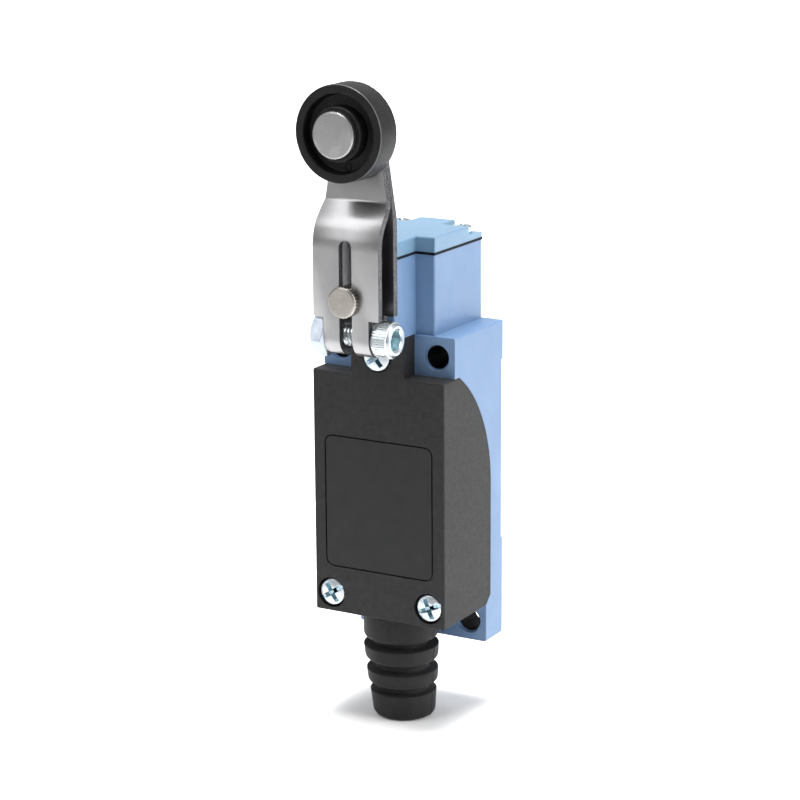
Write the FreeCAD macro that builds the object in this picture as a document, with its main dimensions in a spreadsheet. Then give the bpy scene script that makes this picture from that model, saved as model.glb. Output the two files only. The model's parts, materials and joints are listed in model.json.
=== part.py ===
import FreeCAD
import Part
import math
import os
import Sketcher
from FreeCAD import Placement, Rotation, Vector

# A compact vertical limit switch with an adjustable rotary roller lever.
# Frame: origin at the centre of the four mounting holes on the back plane, +Z up towards the roller,
# -Y out of the front cover, +X to the right of someone who faces the cover.  Millimetres.
# "Depth" below is the distance in front of the back plane, so a depth of 10 lies at Y = -10.

DIMENSIONS = {
    # body and mounting
    "body_width": 28.7,
    "body_height": 64.0,
    "hole_pitch_across": 21.0,
    "hole_pitch_up": 56.0,
    "hole_diameter": 4.4,
    "hole_ring_diameter": 5.3,
    "hole_ring_depth": 0.5,
    "upper_lug_depth": 19.6,
    "lower_lug_depth": 6.8,
    "pad_relief": 0.5,
    "pad_low_top": -12.0,
    "floor_thickness": 2.4,
    "wall": 1.8,
    # joint between the tray and the cover, seen from the side
    "shoulder": 24.2,
    "cover_bottom": -24.35,
    "rim_depth": 4.9,
    "rim_bottom": -22.5,
    "rim_arc_foot": 0.6,
    "rim_arc_radius": 28.0,
    "seam": 0.08,
    "tray_top": 21.5,
    # head
    "head_width": 19.5,
    "head_depth": 19.0,
    "head_top": 47.4,
    "boss_width": 11.4,
    "boss_depth": 27.2,
    "boss_bottom": 32.1,
    "cavity_width": 15.4,
    "cavity_front": 17.2,
    "cavity_back": 5.6,
    "cavity_floor": 33.6,
    "gasket_thickness": 0.5,
    "cap_thickness": 2.9,
    "cap_pocket_depth": 1.9,
    "cap_spine_width": 7.7,
    "cap_pocket_reach": 5.4,
    "cap_screw_offset": 6.65,
    "cap_screw_inset": 2.7,
    # cover
    "cover_depth": 24.04,
    "cover_tab_width": 11.4,
    "cover_edge_radius": 0.35,
    "label_width": 23.8,
    "label_bottom": -15.1,
    "label_top": 11.5,
    "label_corner": 1.8,
    "label_recess": 0.5,
    "label_gap": 0.28,
    "cover_screw_offset": 10.8,
    "cover_screw_height": -20.6,
    "tab_screw_height": 27.9,
    "screw_head_diameter": 5.5,
    "screw_head_height": 1.5,
    "screw_thread_diameter": 2.8,
    "screw_recess_diameter": 6.1,
    "cover_seat_depth": 22.4,
    "tab_seat_depth": 23.2,
    # shaft
    "shaft_height": 40.7,
    "shaft_diameter": 6.0,
    "running_gap": 0.05,
    "bush_diameter": 8.6,
    "seal_bore_diameter": 9.0,
    "seal_section": 1.24,
    "journal_diameter": 3.9,
    "cam_flat": 2.2,
    "neck_width": 2.5,
    "neck_height": 5.2,
    "disc_diameter": 5.9,
    "disc_front": 37.0,
    "disc_back": 35.5,
    "disc_teeth": 30,
    # plunger
    "plunger_depth": 11.4,
    "plunger_diameter": 3.4,
    "plunger_head_diameter": 6.8,
    "plunger_top": 37.55,
    "plunger_bottom": 18.9,
    "guide_diameter": 5.4,
    "spring_well_diameter": 7.6,
    "spring_well_floor": 28.0,
    # lever
    "arm_width": 14.0,
    "arm_front": 35.4,
    "arm_back": 28.3,
    "strip": 1.4,
    "strip_gap": 0.12,
    "bend_height": 33.5,
    "jog_low": 53.4,
    "jog_high": 58.9,
    "taper_start": 56.0,
    "tip_radius": 4.62,
    "ear_width": 9.7,
    "ear_top": 37.4,
    "slot_width": 2.7,
    "slot_top": 52.04,
    "bolt_diameter": 3.9,
    "bolt_head_diameter": 7.0,
    "bolt_head_length": 4.0,
    "bolt_tip": 9.0,
    "nut_across_flats": 7.6,
    "nut_length": 2.9,
    # roller
    "roller_height": 71.86,
    "roller_diameter": 18.12,
    "roller_front": 37.4,
    "roller_back": 31.5,
    "roller_recess_diameter": 14.6,
    "roller_recess_depth": 2.3,
    "roller_hub_diameter": 10.1,
    "roller_hub_front": 37.9,
    "pin_head_diameter": 8.6,
    "pin_head_front": 39.3,
    "pin_head_back": 38.1,
    "pin_diameter": 4.4,
    "sleeve_diameter": 6.0,
    # cable gland
    "gland_depth": 15.5,
    "gland_bore": 6.4,
    "gland_neck": 12.8,
    "gland_flange": 13.4,
    # contact block
    "case_width": 22.0,
    "case_bottom": -12.0,
    "case_top": 17.6,
    "case_back": 3.0,
    "case_front": 16.0,
    "chamber_width": 8.8,
    "lid_thickness": 1.0,
    "bay_floor": 13.2,
    "upper_contact": 10.5,
    "lower_contact": -0.35,
    "contact_gap": 0.85,
    "contact_sheet": 0.6,
    "terminal_offset": 8.1,
    "upper_terminal_drop": 2.4,
    "lower_terminal_drop": 3.6,
}

TINY = 1e-6
REACH = 60.0     # longer than any cut has to be
PLANES = {"front": "XZ_Plane", "top": "XY_Plane", "side": "YZ_Plane"}

doc = FreeCAD.newDocument("LimitSwitch")


class Size:
    """A length that keeps the sheet formula it comes from beside its value."""

    def __init__(self, formula, value):
        self.formula = formula
        self.value = value

    def __add__(self, other):
        other = size(other)
        return Size(f"({self.formula} + {other.formula})", self.value + other.value)

    def __sub__(self, other):
        other = size(other)
        return Size(f"({self.formula} - {other.formula})", self.value - other.value)

    def __mul__(self, other):
        other = size(other)
        return Size(f"({self.formula} * {other.formula})", self.value * other.value)

    def __truediv__(self, other):
        other = size(other)
        return Size(f"({self.formula} / {other.formula})", self.value / other.value)

    def __neg__(self):
        return Size(f"(0 - {self.formula})", -self.value)

    def __radd__(self, other):
        return size(other) + self

    def __rsub__(self, other):
        return size(other) - self

    def __rmul__(self, other):
        return size(other) * self


def size(number):
    """Any plain number as a Size."""
    if isinstance(number, Size):
        return number
    return Size(f"({number:.6f})", float(number))


def root(area):
    """Square root of a Size."""
    return Size(f"sqrt({area.formula})", math.sqrt(area.value))


class Sheet:
    """The spreadsheet of driving dimensions, read as attributes."""

    def __init__(self, values):
        self.values = values
        self.sheet = doc.addObject("Spreadsheet::Sheet", "Dimensions")
        for row, (alias, value) in enumerate(values.items(), start=1):
            self.sheet.set(f"A{row}", alias)
            self.sheet.set(f"B{row}", str(value))
            self.sheet.setAlias(f"B{row}", alias)
        doc.recompute()

    def __getattr__(self, alias):
        return Size(f"Dimensions.{alias}", float(self.values[alias]))


D = Sheet(DIMENSIONS)


# ---------------------------------------------------------------- sketches

def new_body(label):
    body = doc.addObject("PartDesign::Body", label)
    body.Label = label
    return body


def new_sketch(body, plane, offset):
    """An empty sketch parallel to one of the body's origin planes.

    "front" sketches use (X, Z) and their offset is a depth; "top" sketches use (X, Y) and a height;
    "side" sketches use (Y, Z) and an offset along X.
    """
    sketch = body.newObject("Sketcher::SketchObject", f"{body.Name}_outline")
    for feature in body.Origin.OriginFeatures:
        if feature.Role == PLANES[plane]:
            sketch.AttachmentSupport = (feature, [""])
    sketch.MapMode = "FlatFace"
    offset = size(offset)
    sketch.AttachmentOffset = Placement(Vector(0, 0, offset.value), Rotation())
    sketch.setExpression("AttachmentOffset.Base.z", offset.formula)
    return sketch


def hold_point(sketch, geometry, vertex, point):
    """Fix one vertex of the sketch at a point given as two Sizes."""
    for kind, axis, place in (("DistanceX", -2, size(point[0])), ("DistanceY", -1, size(point[1]))):
        if abs(place.value) < TINY:
            sketch.addConstraint(Sketcher.Constraint("PointOnObject", geometry, vertex, axis))
            continue
        ends = (-1, 1, geometry, vertex)
        if place.value < 0:
            ends = (geometry, vertex, -1, 1)
            place = -place
        index = sketch.addConstraint(Sketcher.Constraint(kind, *ends, place.value))
        sketch.setExpression(f"Constraints[{index}]", place.formula)


def hold_radius(sketch, geometry, radius):
    index = sketch.addConstraint(Sketcher.Constraint("Radius", geometry, radius.value))
    sketch.setExpression(f"Constraints[{index}]", radius.formula)


def circle(sketch, centre, diameter):
    radius = size(diameter) / 2
    place = Vector(size(centre[0]).value, size(centre[1]).value, 0)
    index = sketch.addGeometry(Part.Circle(place, Vector(0, 0, 1), radius.value), False)
    hold_point(sketch, index, 3, centre)
    hold_radius(sketch, index, radius)


def arc_between(start, end, radius, side):
    """The shorter arc between two points; side is +1 when it bulges to the right of start-to-end."""
    middle = (start + end) * 0.5
    chord = end - start
    rise = math.sqrt(max(radius ** 2 - (chord.Length / 2) ** 2, 0.0))
    left = Vector(-chord.y, chord.x, 0).normalize()
    centre = middle + left * rise * side
    angle_start = math.atan2(start.y - centre.y, start.x - centre.x)
    angle_end = math.atan2(end.y - centre.y, end.x - centre.x)
    whole = Part.Circle(centre, Vector(0, 0, 1), radius)
    if side > 0:
        return Part.ArcOfCircle(whole, angle_start, angle_end), (1, 2)
    return Part.ArcOfCircle(whole, angle_end, angle_start), (2, 1)


def outline(sketch, points, arcs=None):
    """A closed outline of straight sides; arcs maps a side's number to (radius, side it bulges to)."""
    arcs = arcs or {}
    places = [Vector(size(x).value, size(y).value, 0) for x, y in points]
    ends = []
    for number, start in enumerate(places):
        end = places[(number + 1) % len(places)]
        order = (1, 2)
        edge = Part.LineSegment(start, end)
        if number in arcs:
            radius, side = arcs[number]
            edge, order = arc_between(start, end, size(radius).value, side)
        index = sketch.addGeometry(edge, False)
        hold_point(sketch, index, order[0], points[number])
        ends.append((index, order))
    for number, (index, order) in enumerate(ends):
        after, after_order = ends[(number + 1) % len(ends)]
        sketch.addConstraint(Sketcher.Constraint("Coincident", index, order[1], after, after_order[0]))
    for number, (radius, _) in arcs.items():
        # A half circle between two held points has its radius already.
        span = (places[(number + 1) % len(places)] - places[number]).Length
        if abs(span / 2 - size(radius).value) > TINY:
            hold_radius(sketch, ends[number][0], size(radius))


def axis_line(sketch, start, end):
    """A construction line to turn or repeat features about."""
    places = [Vector(size(x).value, size(y).value, 0) for x, y in (start, end)]
    index = sketch.addGeometry(Part.LineSegment(*places), True)
    hold_point(sketch, index, 1, start)
    hold_point(sketch, index, 2, end)
    return (sketch, ["Axis0"])


def rectangle(sketch, left, right, low, high):
    outline(sketch, [(left, low), (right, low), (right, high), (left, high)])


def rounded_rectangle(sketch, left, right, low, high, radius):
    radius = size(radius)
    points = [
        (left + radius, low), (right - radius, low), (right, low + radius), (right, high - radius),
        (right - radius, high), (left + radius, high), (left, high - radius), (left, low + radius),
    ]
    outline(sketch, points, {number: (radius, 1) for number in (1, 3, 5, 7)})


# ---------------------------------------------------------------- features

def pad(body, sketch, length, along=True):
    """Add material from the sketch plane, along its normal unless along is False."""
    feature = body.newObject("PartDesign::Pad", f"{body.Name}_pad")
    feature.Profile = sketch
    feature.Length = size(length).value
    feature.setExpression("Length", size(length).formula)
    feature.Reversed = not along
    sketch.Visibility = False
    doc.recompute()
    return feature


def pocket(body, sketch, length, along):
    """Cut from the sketch plane, along its normal or against it, and check that it cuts."""
    before = body.Shape.Volume
    feature = body.newObject("PartDesign::Pocket", f"{body.Name}_pocket")
    feature.Profile = sketch
    feature.Length = size(length).value
    feature.setExpression("Length", size(length).formula)
    feature.Reversed = along
    doc.recompute()
    if body.Shape.Volume > before - TINY:
        raise RuntimeError(f"{feature.Name} cuts nothing")
    return feature


def pad_box(body, left, right, low, high, start, end, plane="front"):
    """A block padded between two offsets of a plane."""
    sketch = new_sketch(body, plane, start)
    rectangle(sketch, left, right, low, high)
    return pad(body, sketch, size(end) - start)


def cut_box(body, left, right, low, high, start, end, plane="front"):
    """A block cut between two offsets of a plane."""
    sketch = new_sketch(body, plane, start)
    rectangle(sketch, left, right, low, high)
    return pocket(body, sketch, size(end) - start, True)


def pad_disc(body, centre, diameter, start, end, plane="front"):
    sketch = new_sketch(body, plane, start)
    circle(sketch, centre, diameter)
    return pad(body, sketch, size(end) - start)


def cut_discs(body, centres, diameter, start, end, plane="front"):
    sketch = new_sketch(body, plane, start)
    for centre in centres:
        circle(sketch, centre, diameter)
    return pocket(body, sketch, size(end) - start, True)


def edges_in(shape, low, high):
    """Names of the edges that lie wholly inside a box."""
    names = []
    for number, edge in enumerate(shape.Edges, start=1):
        box = edge.BoundBox
        inside = (
            box.XMin > low[0] and box.YMin > low[1] and box.ZMin > low[2]
            and box.XMax < high[0] and box.YMax < high[1] and box.ZMax < high[2]
        )
        if inside:
            names.append(f"Edge{number}")
    return names


def dress(body, kind, names, amount):
    """A Fillet or Chamfer of the named edges."""
    if not names:
        raise RuntimeError(f"{body.Label}: no edges for a {kind}")
    base = body.Tip
    feature = body.newObject(f"PartDesign::{kind}", f"{body.Name}_{kind.lower()}")
    feature.Base = (base, names)
    property_name = "Radius" if kind == "Fillet" else "Size"
    setattr(feature, property_name, size(amount).value)
    feature.setExpression(property_name, size(amount).formula)
    body.Tip = feature
    doc.recompute()
    if "Invalid" in feature.State:
        raise RuntimeError(f"{feature.Name} failed on {names}")
    return feature


def round_edges(body, low, high, radius):
    return dress(body, "Fillet", edges_in(body.Shape, low, high), radius)


def bevel_edges(body, low, high, amount):
    return dress(body, "Chamfer", edges_in(body.Shape, low, high), amount)


def group(label, pieces):
    """Several identical pieces that share one node."""
    compound = doc.addObject("Part::Compound", label)
    compound.Label = label
    compound.Links = pieces
    return compound


# ---------------------------------------------------------------- shared places

half_width = D.body_width / 2
half_height = D.body_height / 2
mount_holes = [
    (D.hole_pitch_across / 2 * across, D.hole_pitch_up / 2 * up) for across in (-1, 1) for up in (-1, 1)
]
shaft_axis = (size(0), D.shaft_height)
cover_screws = [(D.cover_screw_offset * side, D.cover_screw_height) for side in (-1, 1)]
tab_screw = (size(0), D.tab_screw_height)
cap_screws = [(D.cap_screw_offset * side, -D.cap_screw_inset) for side in (-1, 1)]
plunger_axis = (size(0), -D.plunger_depth)
terminals = [
    (D.terminal_offset * side, height)
    for height in (D.upper_contact - D.upper_terminal_drop, D.lower_contact - D.lower_terminal_drop)
    for side in (-1, 1)
]
case_screws = [(size(-9.2), size(15.6)), (size(9.2), size(-10.2))]
earth_screw = (size(0), size(-17.0))

# The joint between tray and cover: up the rim, then an arc forward to the shoulder.
arc_reach = root(D.rim_arc_radius * D.rim_arc_radius
                 - (D.shoulder - D.rim_arc_foot) * (D.shoulder - D.rim_arc_foot))
arc_top_depth = D.rim_depth + D.rim_arc_radius - arc_reach


def joint_line(shift):
    """The tray's edge from bottom to shoulder, moved forward by shift, as (Y, Z) points."""
    return [
        (-(D.lower_lug_depth + shift), D.cover_bottom),
        (-(D.rim_depth + shift), D.rim_bottom),
        (-(D.rim_depth + shift), D.rim_arc_foot),
        (-(arc_top_depth + shift), D.shoulder),
    ]


def head_outline(sketch, spread, front_spread):
    """The plan of the head: a wide block with a narrower boss in front."""
    half_head = D.head_width / 2 + spread
    half_boss = D.boss_width / 2 + spread
    front = -(D.boss_depth + front_spread)
    step = -(D.head_depth + spread)
    outline(sketch, [
        (-half_head, size(spread)), (-half_head, step), (-half_boss, step), (-half_boss, front),
        (half_boss, front), (half_boss, step), (half_head, step), (half_head, size(spread)),
    ])


# ---------------------------------------------------------------- screws

def pan_screw(label, plane, centre, seat, head_diameter, head_height, thread_diameter, length):
    """A pan head screw with a cross slot: head outward of the seat, thread inward."""
    body = new_body(label)
    pad_disc(body, centre, thread_diameter, size(seat) - length, seat, plane)
    pad_disc(body, centre, head_diameter, seat, size(seat) + head_height, plane)
    top = body.Shape.BoundBox
    x, other = size(centre[0]).value, size(centre[1]).value
    reach = size(head_diameter).value / 2 + 0.1
    crown = size(seat).value + size(head_height).value
    if plane == "front":
        low = (x - reach, -crown - 0.01, other - reach)
        high = (x + reach, -crown + 0.01, other + reach)
    else:
        low = (x - reach, other - reach, top.ZMax - 0.01)
        high = (x + reach, other + reach, top.ZMax + 0.01)
    round_edges(body, low, high, size(head_height) * 0.42)
    arm = size(head_diameter) * 0.3
    blade = size(head_diameter) * 0.07
    for half_long, half_high in ((arm, blade), (blade, arm)):
        sketch = new_sketch(body, plane, size(seat) + head_height)
        rectangle(sketch, centre[0] - half_long, centre[0] + half_long,
                  centre[1] - half_high, centre[1] + half_high)
        pocket(body, sketch, size(head_height) * 0.6, False)
    return body


# ---------------------------------------------------------------- housing

def housing():
    """Die-cast body: tray, four mounting lugs and the hollow head that carries the shaft."""
    body = new_body("housing")
    sketch = new_sketch(body, "side", -half_width)
    side = [(size(0), -half_height), (-D.lower_lug_depth, -half_height)]
    side += joint_line(size(0))
    side += [(-D.upper_lug_depth, D.shoulder), (-D.upper_lug_depth, half_height), (size(0), half_height)]
    outline(sketch, side, {4: (D.rim_arc_radius, 1)})
    pad(body, sketch, D.body_width)

    head_rise = D.head_top - half_height
    sketch = new_sketch(body, "top", half_height)
    rectangle(sketch, -D.head_width / 2, D.head_width / 2, -D.head_depth, size(0))
    pad(body, sketch, head_rise)
    sketch = new_sketch(body, "top", D.boss_bottom)
    rectangle(sketch, -D.boss_width / 2, D.boss_width / 2, -D.boss_depth, -D.cavity_front)
    pad(body, sketch, D.head_top - D.boss_bottom)

    # shallow relief between the two raised pads on the back
    cut_box(body, -half_width, half_width, D.pad_low_top, D.shoulder, size(0), D.pad_relief)
    # tray
    cut_box(body, -(half_width - D.wall), half_width - D.wall, D.rim_bottom, D.tray_top,
            D.floor_thickness, REACH)
    # posts under the lower cover screws, the contact block and the earth screw
    for x, z in cover_screws:
        pad_box(body, x - 2.5, x + 2.5, z - 2.3, z + 2.3, D.floor_thickness - 0.4, D.rim_depth)
    for x, z in case_screws:
        pad_disc(body, (x, z), 4.0, D.floor_thickness - 0.4, D.case_back)
    pad_disc(body, earth_screw, 5.0, D.floor_thickness - 0.4, 4.4)

    # head cavity, shaft bore, seal bore and the blind bearing at the back
    cut_box(body, -D.cavity_width / 2, D.cavity_width / 2, -D.cavity_front, -D.cavity_back,
            D.cavity_floor, REACH, "top")
    cut_discs(body, [shaft_axis], D.bush_diameter, D.cavity_front - 0.1, REACH)
    cut_discs(body, [shaft_axis], D.seal_bore_diameter, D.boss_depth - 1.9, REACH)
    sketch = new_sketch(body, "front", D.cavity_back)
    circle(sketch, shaft_axis, D.journal_diameter + D.running_gap * 2)
    pocket(body, sketch, 3.4, False)

    # plunger bore with the well for its spring
    cut_discs(body, [plunger_axis], D.guide_diameter, D.tray_top - 1, REACH, "top")
    cut_discs(body, [plunger_axis], D.spring_well_diameter, D.spring_well_floor, REACH, "top")

    # screw holes
    cut_discs(body, cap_screws, 1.9, D.head_top - 7, REACH, "top")
    cut_discs(body, cover_screws + case_screws + [earth_screw], D.screw_thread_diameter + 0.1, 0.9, REACH)
    sketch = new_sketch(body, "front", D.upper_lug_depth)
    circle(sketch, tab_screw, D.screw_thread_diameter + 0.1)
    pocket(body, sketch, 4.2, False)

    # mounting holes with their shallow rings
    cut_discs(body, mount_holes, D.hole_diameter, -1, REACH)
    cut_discs(body, [hole for hole in mount_holes if hole[1].value > 0], D.hole_ring_diameter,
              D.upper_lug_depth - D.hole_ring_depth, REACH)
    cut_discs(body, [hole for hole in mount_holes if hole[1].value < 0], D.hole_ring_diameter,
              D.lower_lug_depth - D.hole_ring_depth, REACH)
    for low, high in housing_edges():
        round_edges(body, low, high, 0.4)
    return body


def housing_edges():
    """Boxes round the cast outer edges that are softened."""
    edge = D.body_width.value / 2
    top = D.body_height.value / 2
    block = D.head_width.value / 2
    boss = D.boss_width.value / 2
    near = 0.05
    for side in (-1, 1):
        for x, y, low, high in (
            (block, 0.0, top, D.head_top.value),
            (block, -D.head_depth.value, top, D.head_top.value),
            (boss, -D.boss_depth.value, D.boss_bottom.value, D.head_top.value),
        ):
            yield ((side * x - near, y - near, low - near), (side * x + near, y + near, high + near))
        yield (
            (side * edge - near, -D.upper_lug_depth.value - near, top - near),
            (side * edge + near, near, top + near),
        )
        yield (
            (side * edge - near, -D.lower_lug_depth.value - near, -top - near),
            (side * edge + near, near, -top + near),
        )


# ---------------------------------------------------------------- cover

def cover_gasket():
    """Rubber strip in a groove of the cover's rim, following the joint line."""
    body = new_body("cover_gasket_strip")
    sketch = new_sketch(body, "side", -half_width)
    back = joint_line(size(0.01))
    front = joint_line(size(D.gasket_thickness))
    front.reverse()
    outline(sketch, back + front, {2: (D.rim_arc_radius, 1), 4: (D.rim_arc_radius, -1)})
    pad(body, sketch, D.body_width)

    ring = new_body("cover_gasket_ring")
    sketch = new_sketch(ring, "front", 0)
    reach = half_width - 0.6
    rectangle(sketch, -reach, reach, D.cover_bottom + 0.5, D.shoulder - 0.7)
    inner = reach - 0.8
    rectangle(sketch, -inner, inner, D.cover_bottom + 1.3, D.shoulder - 1.5)
    pad(ring, sketch, REACH)

    gasket = doc.addObject("Part::Common", "cover_gasket")
    gasket.Label = "cover_gasket"
    gasket.Base = body
    gasket.Tool = ring
    return gasket


def front_cover(gasket):
    """Moulded cover: a deep shell with a tab that reaches up to the head."""
    body = new_body("front_cover_blank")
    sketch = new_sketch(body, "side", -half_width)
    side = joint_line(D.seam) + [(-D.cover_depth, D.shoulder), (-D.cover_depth, D.cover_bottom)]
    outline(sketch, side, {2: (D.rim_arc_radius, 1)})
    pad(body, sketch, D.body_width)
    edge = D.body_width.value / 2
    front = D.cover_depth.value
    near = 0.05
    for side_x in (-edge, edge):
        round_edges(body, (side_x - near, -front - near, D.cover_bottom.value - near),
                    (side_x + near, -front + near, D.shoulder.value + near), D.cover_edge_radius)
    round_edges(body, (-edge - near, -front - near, D.shoulder.value - near),
                (edge + near, -front + near, D.shoulder.value + near), D.cover_edge_radius)
    round_edges(body, (-edge - near, -front - near, D.cover_bottom.value - near),
                (edge + near, -front + near, D.cover_bottom.value + near), D.cover_edge_radius * 0.6)

    half_tab = D.cover_tab_width / 2
    pad_box(body, -half_tab, half_tab, D.shoulder - 1.5, D.boss_bottom - D.seam,
            D.upper_lug_depth + D.seam, D.cover_depth)

    inside = half_width - D.wall
    sketch = new_sketch(body, "front", D.cover_depth - D.wall)
    rectangle(sketch, -inside, inside, D.rim_bottom, D.shoulder - D.wall)
    pocket(body, sketch, REACH, False)
    for x, z in cover_screws:
        pad_box(body, x - 2.5, x + 2.3, z - 2.3, z + 2.5, D.rim_depth + D.seam, D.cover_depth - D.wall + 0.1)

    cut_discs(body, cover_screws + [tab_screw], D.screw_thread_diameter + 0.4, 0, REACH)
    cut_discs(body, cover_screws, D.screw_recess_diameter, D.cover_seat_depth, REACH)
    cut_discs(body, [tab_screw], D.screw_recess_diameter, D.tab_seat_depth, REACH)

    sketch = new_sketch(body, "front", D.cover_depth - D.label_recess)
    half_label = D.label_width / 2
    rounded_rectangle(sketch, -half_label, half_label, D.label_bottom, D.label_top, D.label_corner)
    pocket(body, sketch, REACH, True)

    sketch = new_sketch(body, "top", D.rim_bottom + 1)
    circle(sketch, (size(0), -D.gland_depth), D.gland_neck + 0.1)
    pocket(body, sketch, 5, False)

    cover = doc.addObject("Part::Cut", "front_cover")
    cover.Label = "front_cover"
    cover.Base = body
    cover.Tool = gasket
    return cover


def label_plate():
    """Blank plate set flush into the cover with a fine gap round it."""
    body = new_body("label_plate")
    sketch = new_sketch(body, "front", D.cover_depth - D.label_recess)
    half_label = D.label_width / 2 - D.label_gap
    rounded_rectangle(sketch, -half_label, half_label, D.label_bottom + D.label_gap,
                      D.label_top - D.label_gap, D.label_corner - D.label_gap)
    pad(body, sketch, D.label_recess - 0.03)
    return body


# ---------------------------------------------------------------- head cap

def head_cap_gasket():
    """Flat gasket under the head cap, a little proud all round."""
    body = new_body("head_cap_gasket")
    sketch = new_sketch(body, "top", D.head_top)
    head_outline(sketch, size(0.08), size(0.08))
    pad(body, sketch, D.gasket_thickness)
    cut_box(body, -D.cavity_width / 2, D.cavity_width / 2, -D.cavity_front, -D.cavity_back, D.head_top - 1,
            REACH, "top")
    cut_discs(body, cap_screws, 2.4, D.head_top - 1, REACH, "top")
    return body


def head_cap():
    """Lid of the head, with a pocket at each rear corner for its screw."""
    body = new_body("head_cap")
    bottom = D.head_top + D.gasket_thickness
    sketch = new_sketch(body, "top", bottom)
    head_outline(sketch, size(0), size(0))
    pad(body, sketch, D.cap_thickness)
    floor = D.head_top + D.gasket_thickness + D.cap_thickness - D.cap_pocket_depth
    half_head = D.head_width / 2
    half_spine = D.cap_spine_width / 2
    for left, right in ((-half_head - 1, -half_spine), (half_spine, half_head + 1)):
        cut_box(body, left, right, -D.cap_pocket_reach, size(1), floor, REACH, "top")
    cut_discs(body, cap_screws, 2.4, D.head_top - 1, REACH, "top")
    top = (D.head_top + D.gasket_thickness + D.cap_thickness).value
    round_edges(body, (-20, -40, top - 0.05), (20, 5, top + 0.05), 0.35)
    return body


# ---------------------------------------------------------------- shaft group

def lever_shaft():
    """Turned shaft: toothed end disc, flat neck for the arm, journals and a cam flat."""
    body = new_body("lever_shaft")
    journal_end = D.cavity_back - 3.1
    pad_disc(body, shaft_axis, D.journal_diameter, journal_end, 7.3)
    pad_disc(body, shaft_axis, D.shaft_diameter, 7.2, 15.6)
    pad_disc(body, shaft_axis, 4.7, 15.5, 16.4)
    pad_disc(body, shaft_axis, D.shaft_diameter, 16.3, D.boss_depth + 0.2)
    pad_disc(body, shaft_axis, 8.0, D.boss_depth + 0.1, D.arm_back - 0.05)
    pad_box(body, -D.neck_width / 2, D.neck_width / 2, D.shaft_height - D.neck_height / 2,
            D.shaft_height + D.neck_height / 2, D.arm_back - 0.1, D.disc_back + 0.1)
    pad_disc(body, shaft_axis, D.disc_diameter, D.disc_back, D.disc_front)
    front = D.disc_front.value
    bevel_edges(body, (-9, -front - 0.02, 30), (9, -front + 0.02, 50), 0.35)

    # flat on the underside of the cam length
    cut_box(body, size(-4), size(4), D.shaft_height - 4, D.shaft_height - D.cam_flat, 7.1, 15.3)

    # teeth round the disc
    sketch = new_sketch(body, "front", D.disc_back - 0.05)
    rim = D.disc_diameter / 2
    outline(sketch, [
        (size(-0.18), D.shaft_height + rim + 0.05), (size(0), D.shaft_height + rim - 0.22),
        (size(0.18), D.shaft_height + rim + 0.05),
    ])
    notch = pocket(body, sketch, D.disc_front - D.disc_back - 0.2, True)
    axis = axis_line(new_sketch(body, "side", 0), (size(0), D.shaft_height), (size(10), D.shaft_height))
    teeth = body.newObject("PartDesign::PolarPattern", "disc_teeth")
    teeth.Originals = [notch]
    teeth.Axis = axis
    teeth.Angle = 360
    teeth.Occurrences = int(D.disc_teeth.value)
    body.Tip = teeth
    return body


def shaft_bush():
    """Flanged bearing bush pressed into the boss."""
    body = new_body("shaft_bush")
    pad_disc(body, shaft_axis, 10.4, D.cavity_front - 0.8, D.cavity_front - 0.02)
    pad_disc(body, shaft_axis, D.bush_diameter, D.cavity_front - 0.1, D.boss_depth - 2.0)
    cut_discs(body, [shaft_axis], D.shaft_diameter + D.running_gap * 2, 0, REACH)
    return body


def shaft_seal():
    """O-ring between the shaft and the mouth of the boss."""
    ring = doc.addObject("Part::Torus", "shaft_seal")
    ring.Label = "shaft_seal"
    middle = (D.seal_bore_diameter + D.shaft_diameter) / 4
    ring.setExpression("Radius1", middle.formula)
    ring.setExpression("Radius2", (D.seal_section / 2).formula)
    place = Vector(0, -(D.boss_depth - 0.95).value, D.shaft_height.value)
    ring.Placement = Placement(place, Rotation(Vector(1, 0, 0), 90))
    ring.setExpression("Placement.Base.y", (-(D.boss_depth - 0.95)).formula)
    ring.setExpression("Placement.Base.z", D.shaft_height.formula)
    return ring


def shaft_clip():
    """Open retaining clip in the shaft's groove behind the bush."""
    body = new_body("shaft_clip")
    pad_disc(body, shaft_axis, 8.8, 15.7, 16.25)
    cut_discs(body, [shaft_axis], 4.8, 15, 17)
    cut_box(body, size(-1.9), size(1.9), D.shaft_height - 5, D.shaft_height, 15, 17)
    return body


def cam_leaf_spring():
    """Arched leaf that carries the cam's push to the top of the plunger."""
    body = new_body("cam_leaf_spring")
    seat = D.plunger_top + 0.05
    half_span = size(2.6)
    rise = D.shaft_height - D.cam_flat - 0.05 - seat
    thickness = size(0.2)
    radius = (half_span * half_span + rise * rise) / (rise * 2)
    inner = radius - thickness
    drop = radius - rise
    inner_half = root(inner * inner - drop * drop)
    sketch = new_sketch(body, "front", D.plunger_depth - 2)
    outline(sketch, [(-half_span, seat), (-inner_half, seat), (inner_half, seat), (half_span, seat)],
            {1: (inner, -1), 3: (radius, 1)})
    pad(body, sketch, 4)
    return body


# ---------------------------------------------------------------- plunger group

def plunger():
    """Headed plunger that carries the stroke from the head down to the contact block."""
    body = new_body("plunger")
    pad_disc(body, plunger_axis, D.plunger_diameter, D.plunger_bottom, D.plunger_top - 1, "top")
    pad_disc(body, plunger_axis, D.plunger_head_diameter, D.plunger_top - 1.3, D.plunger_top, "top")
    return body


def plunger_guide():
    """Flanged guide bush in the floor of the head."""
    body = new_body("plunger_guide")
    pad_disc(body, plunger_axis, D.guide_diameter, D.tray_top, D.spring_well_floor + 0.1, "top")
    pad_disc(body, plunger_axis, D.spring_well_diameter - 0.4, D.spring_well_floor,
             D.spring_well_floor + 0.6, "top")
    cut_discs(body, [plunger_axis], D.plunger_diameter + D.running_gap * 2, 0, REACH, "top")
    return body


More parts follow.
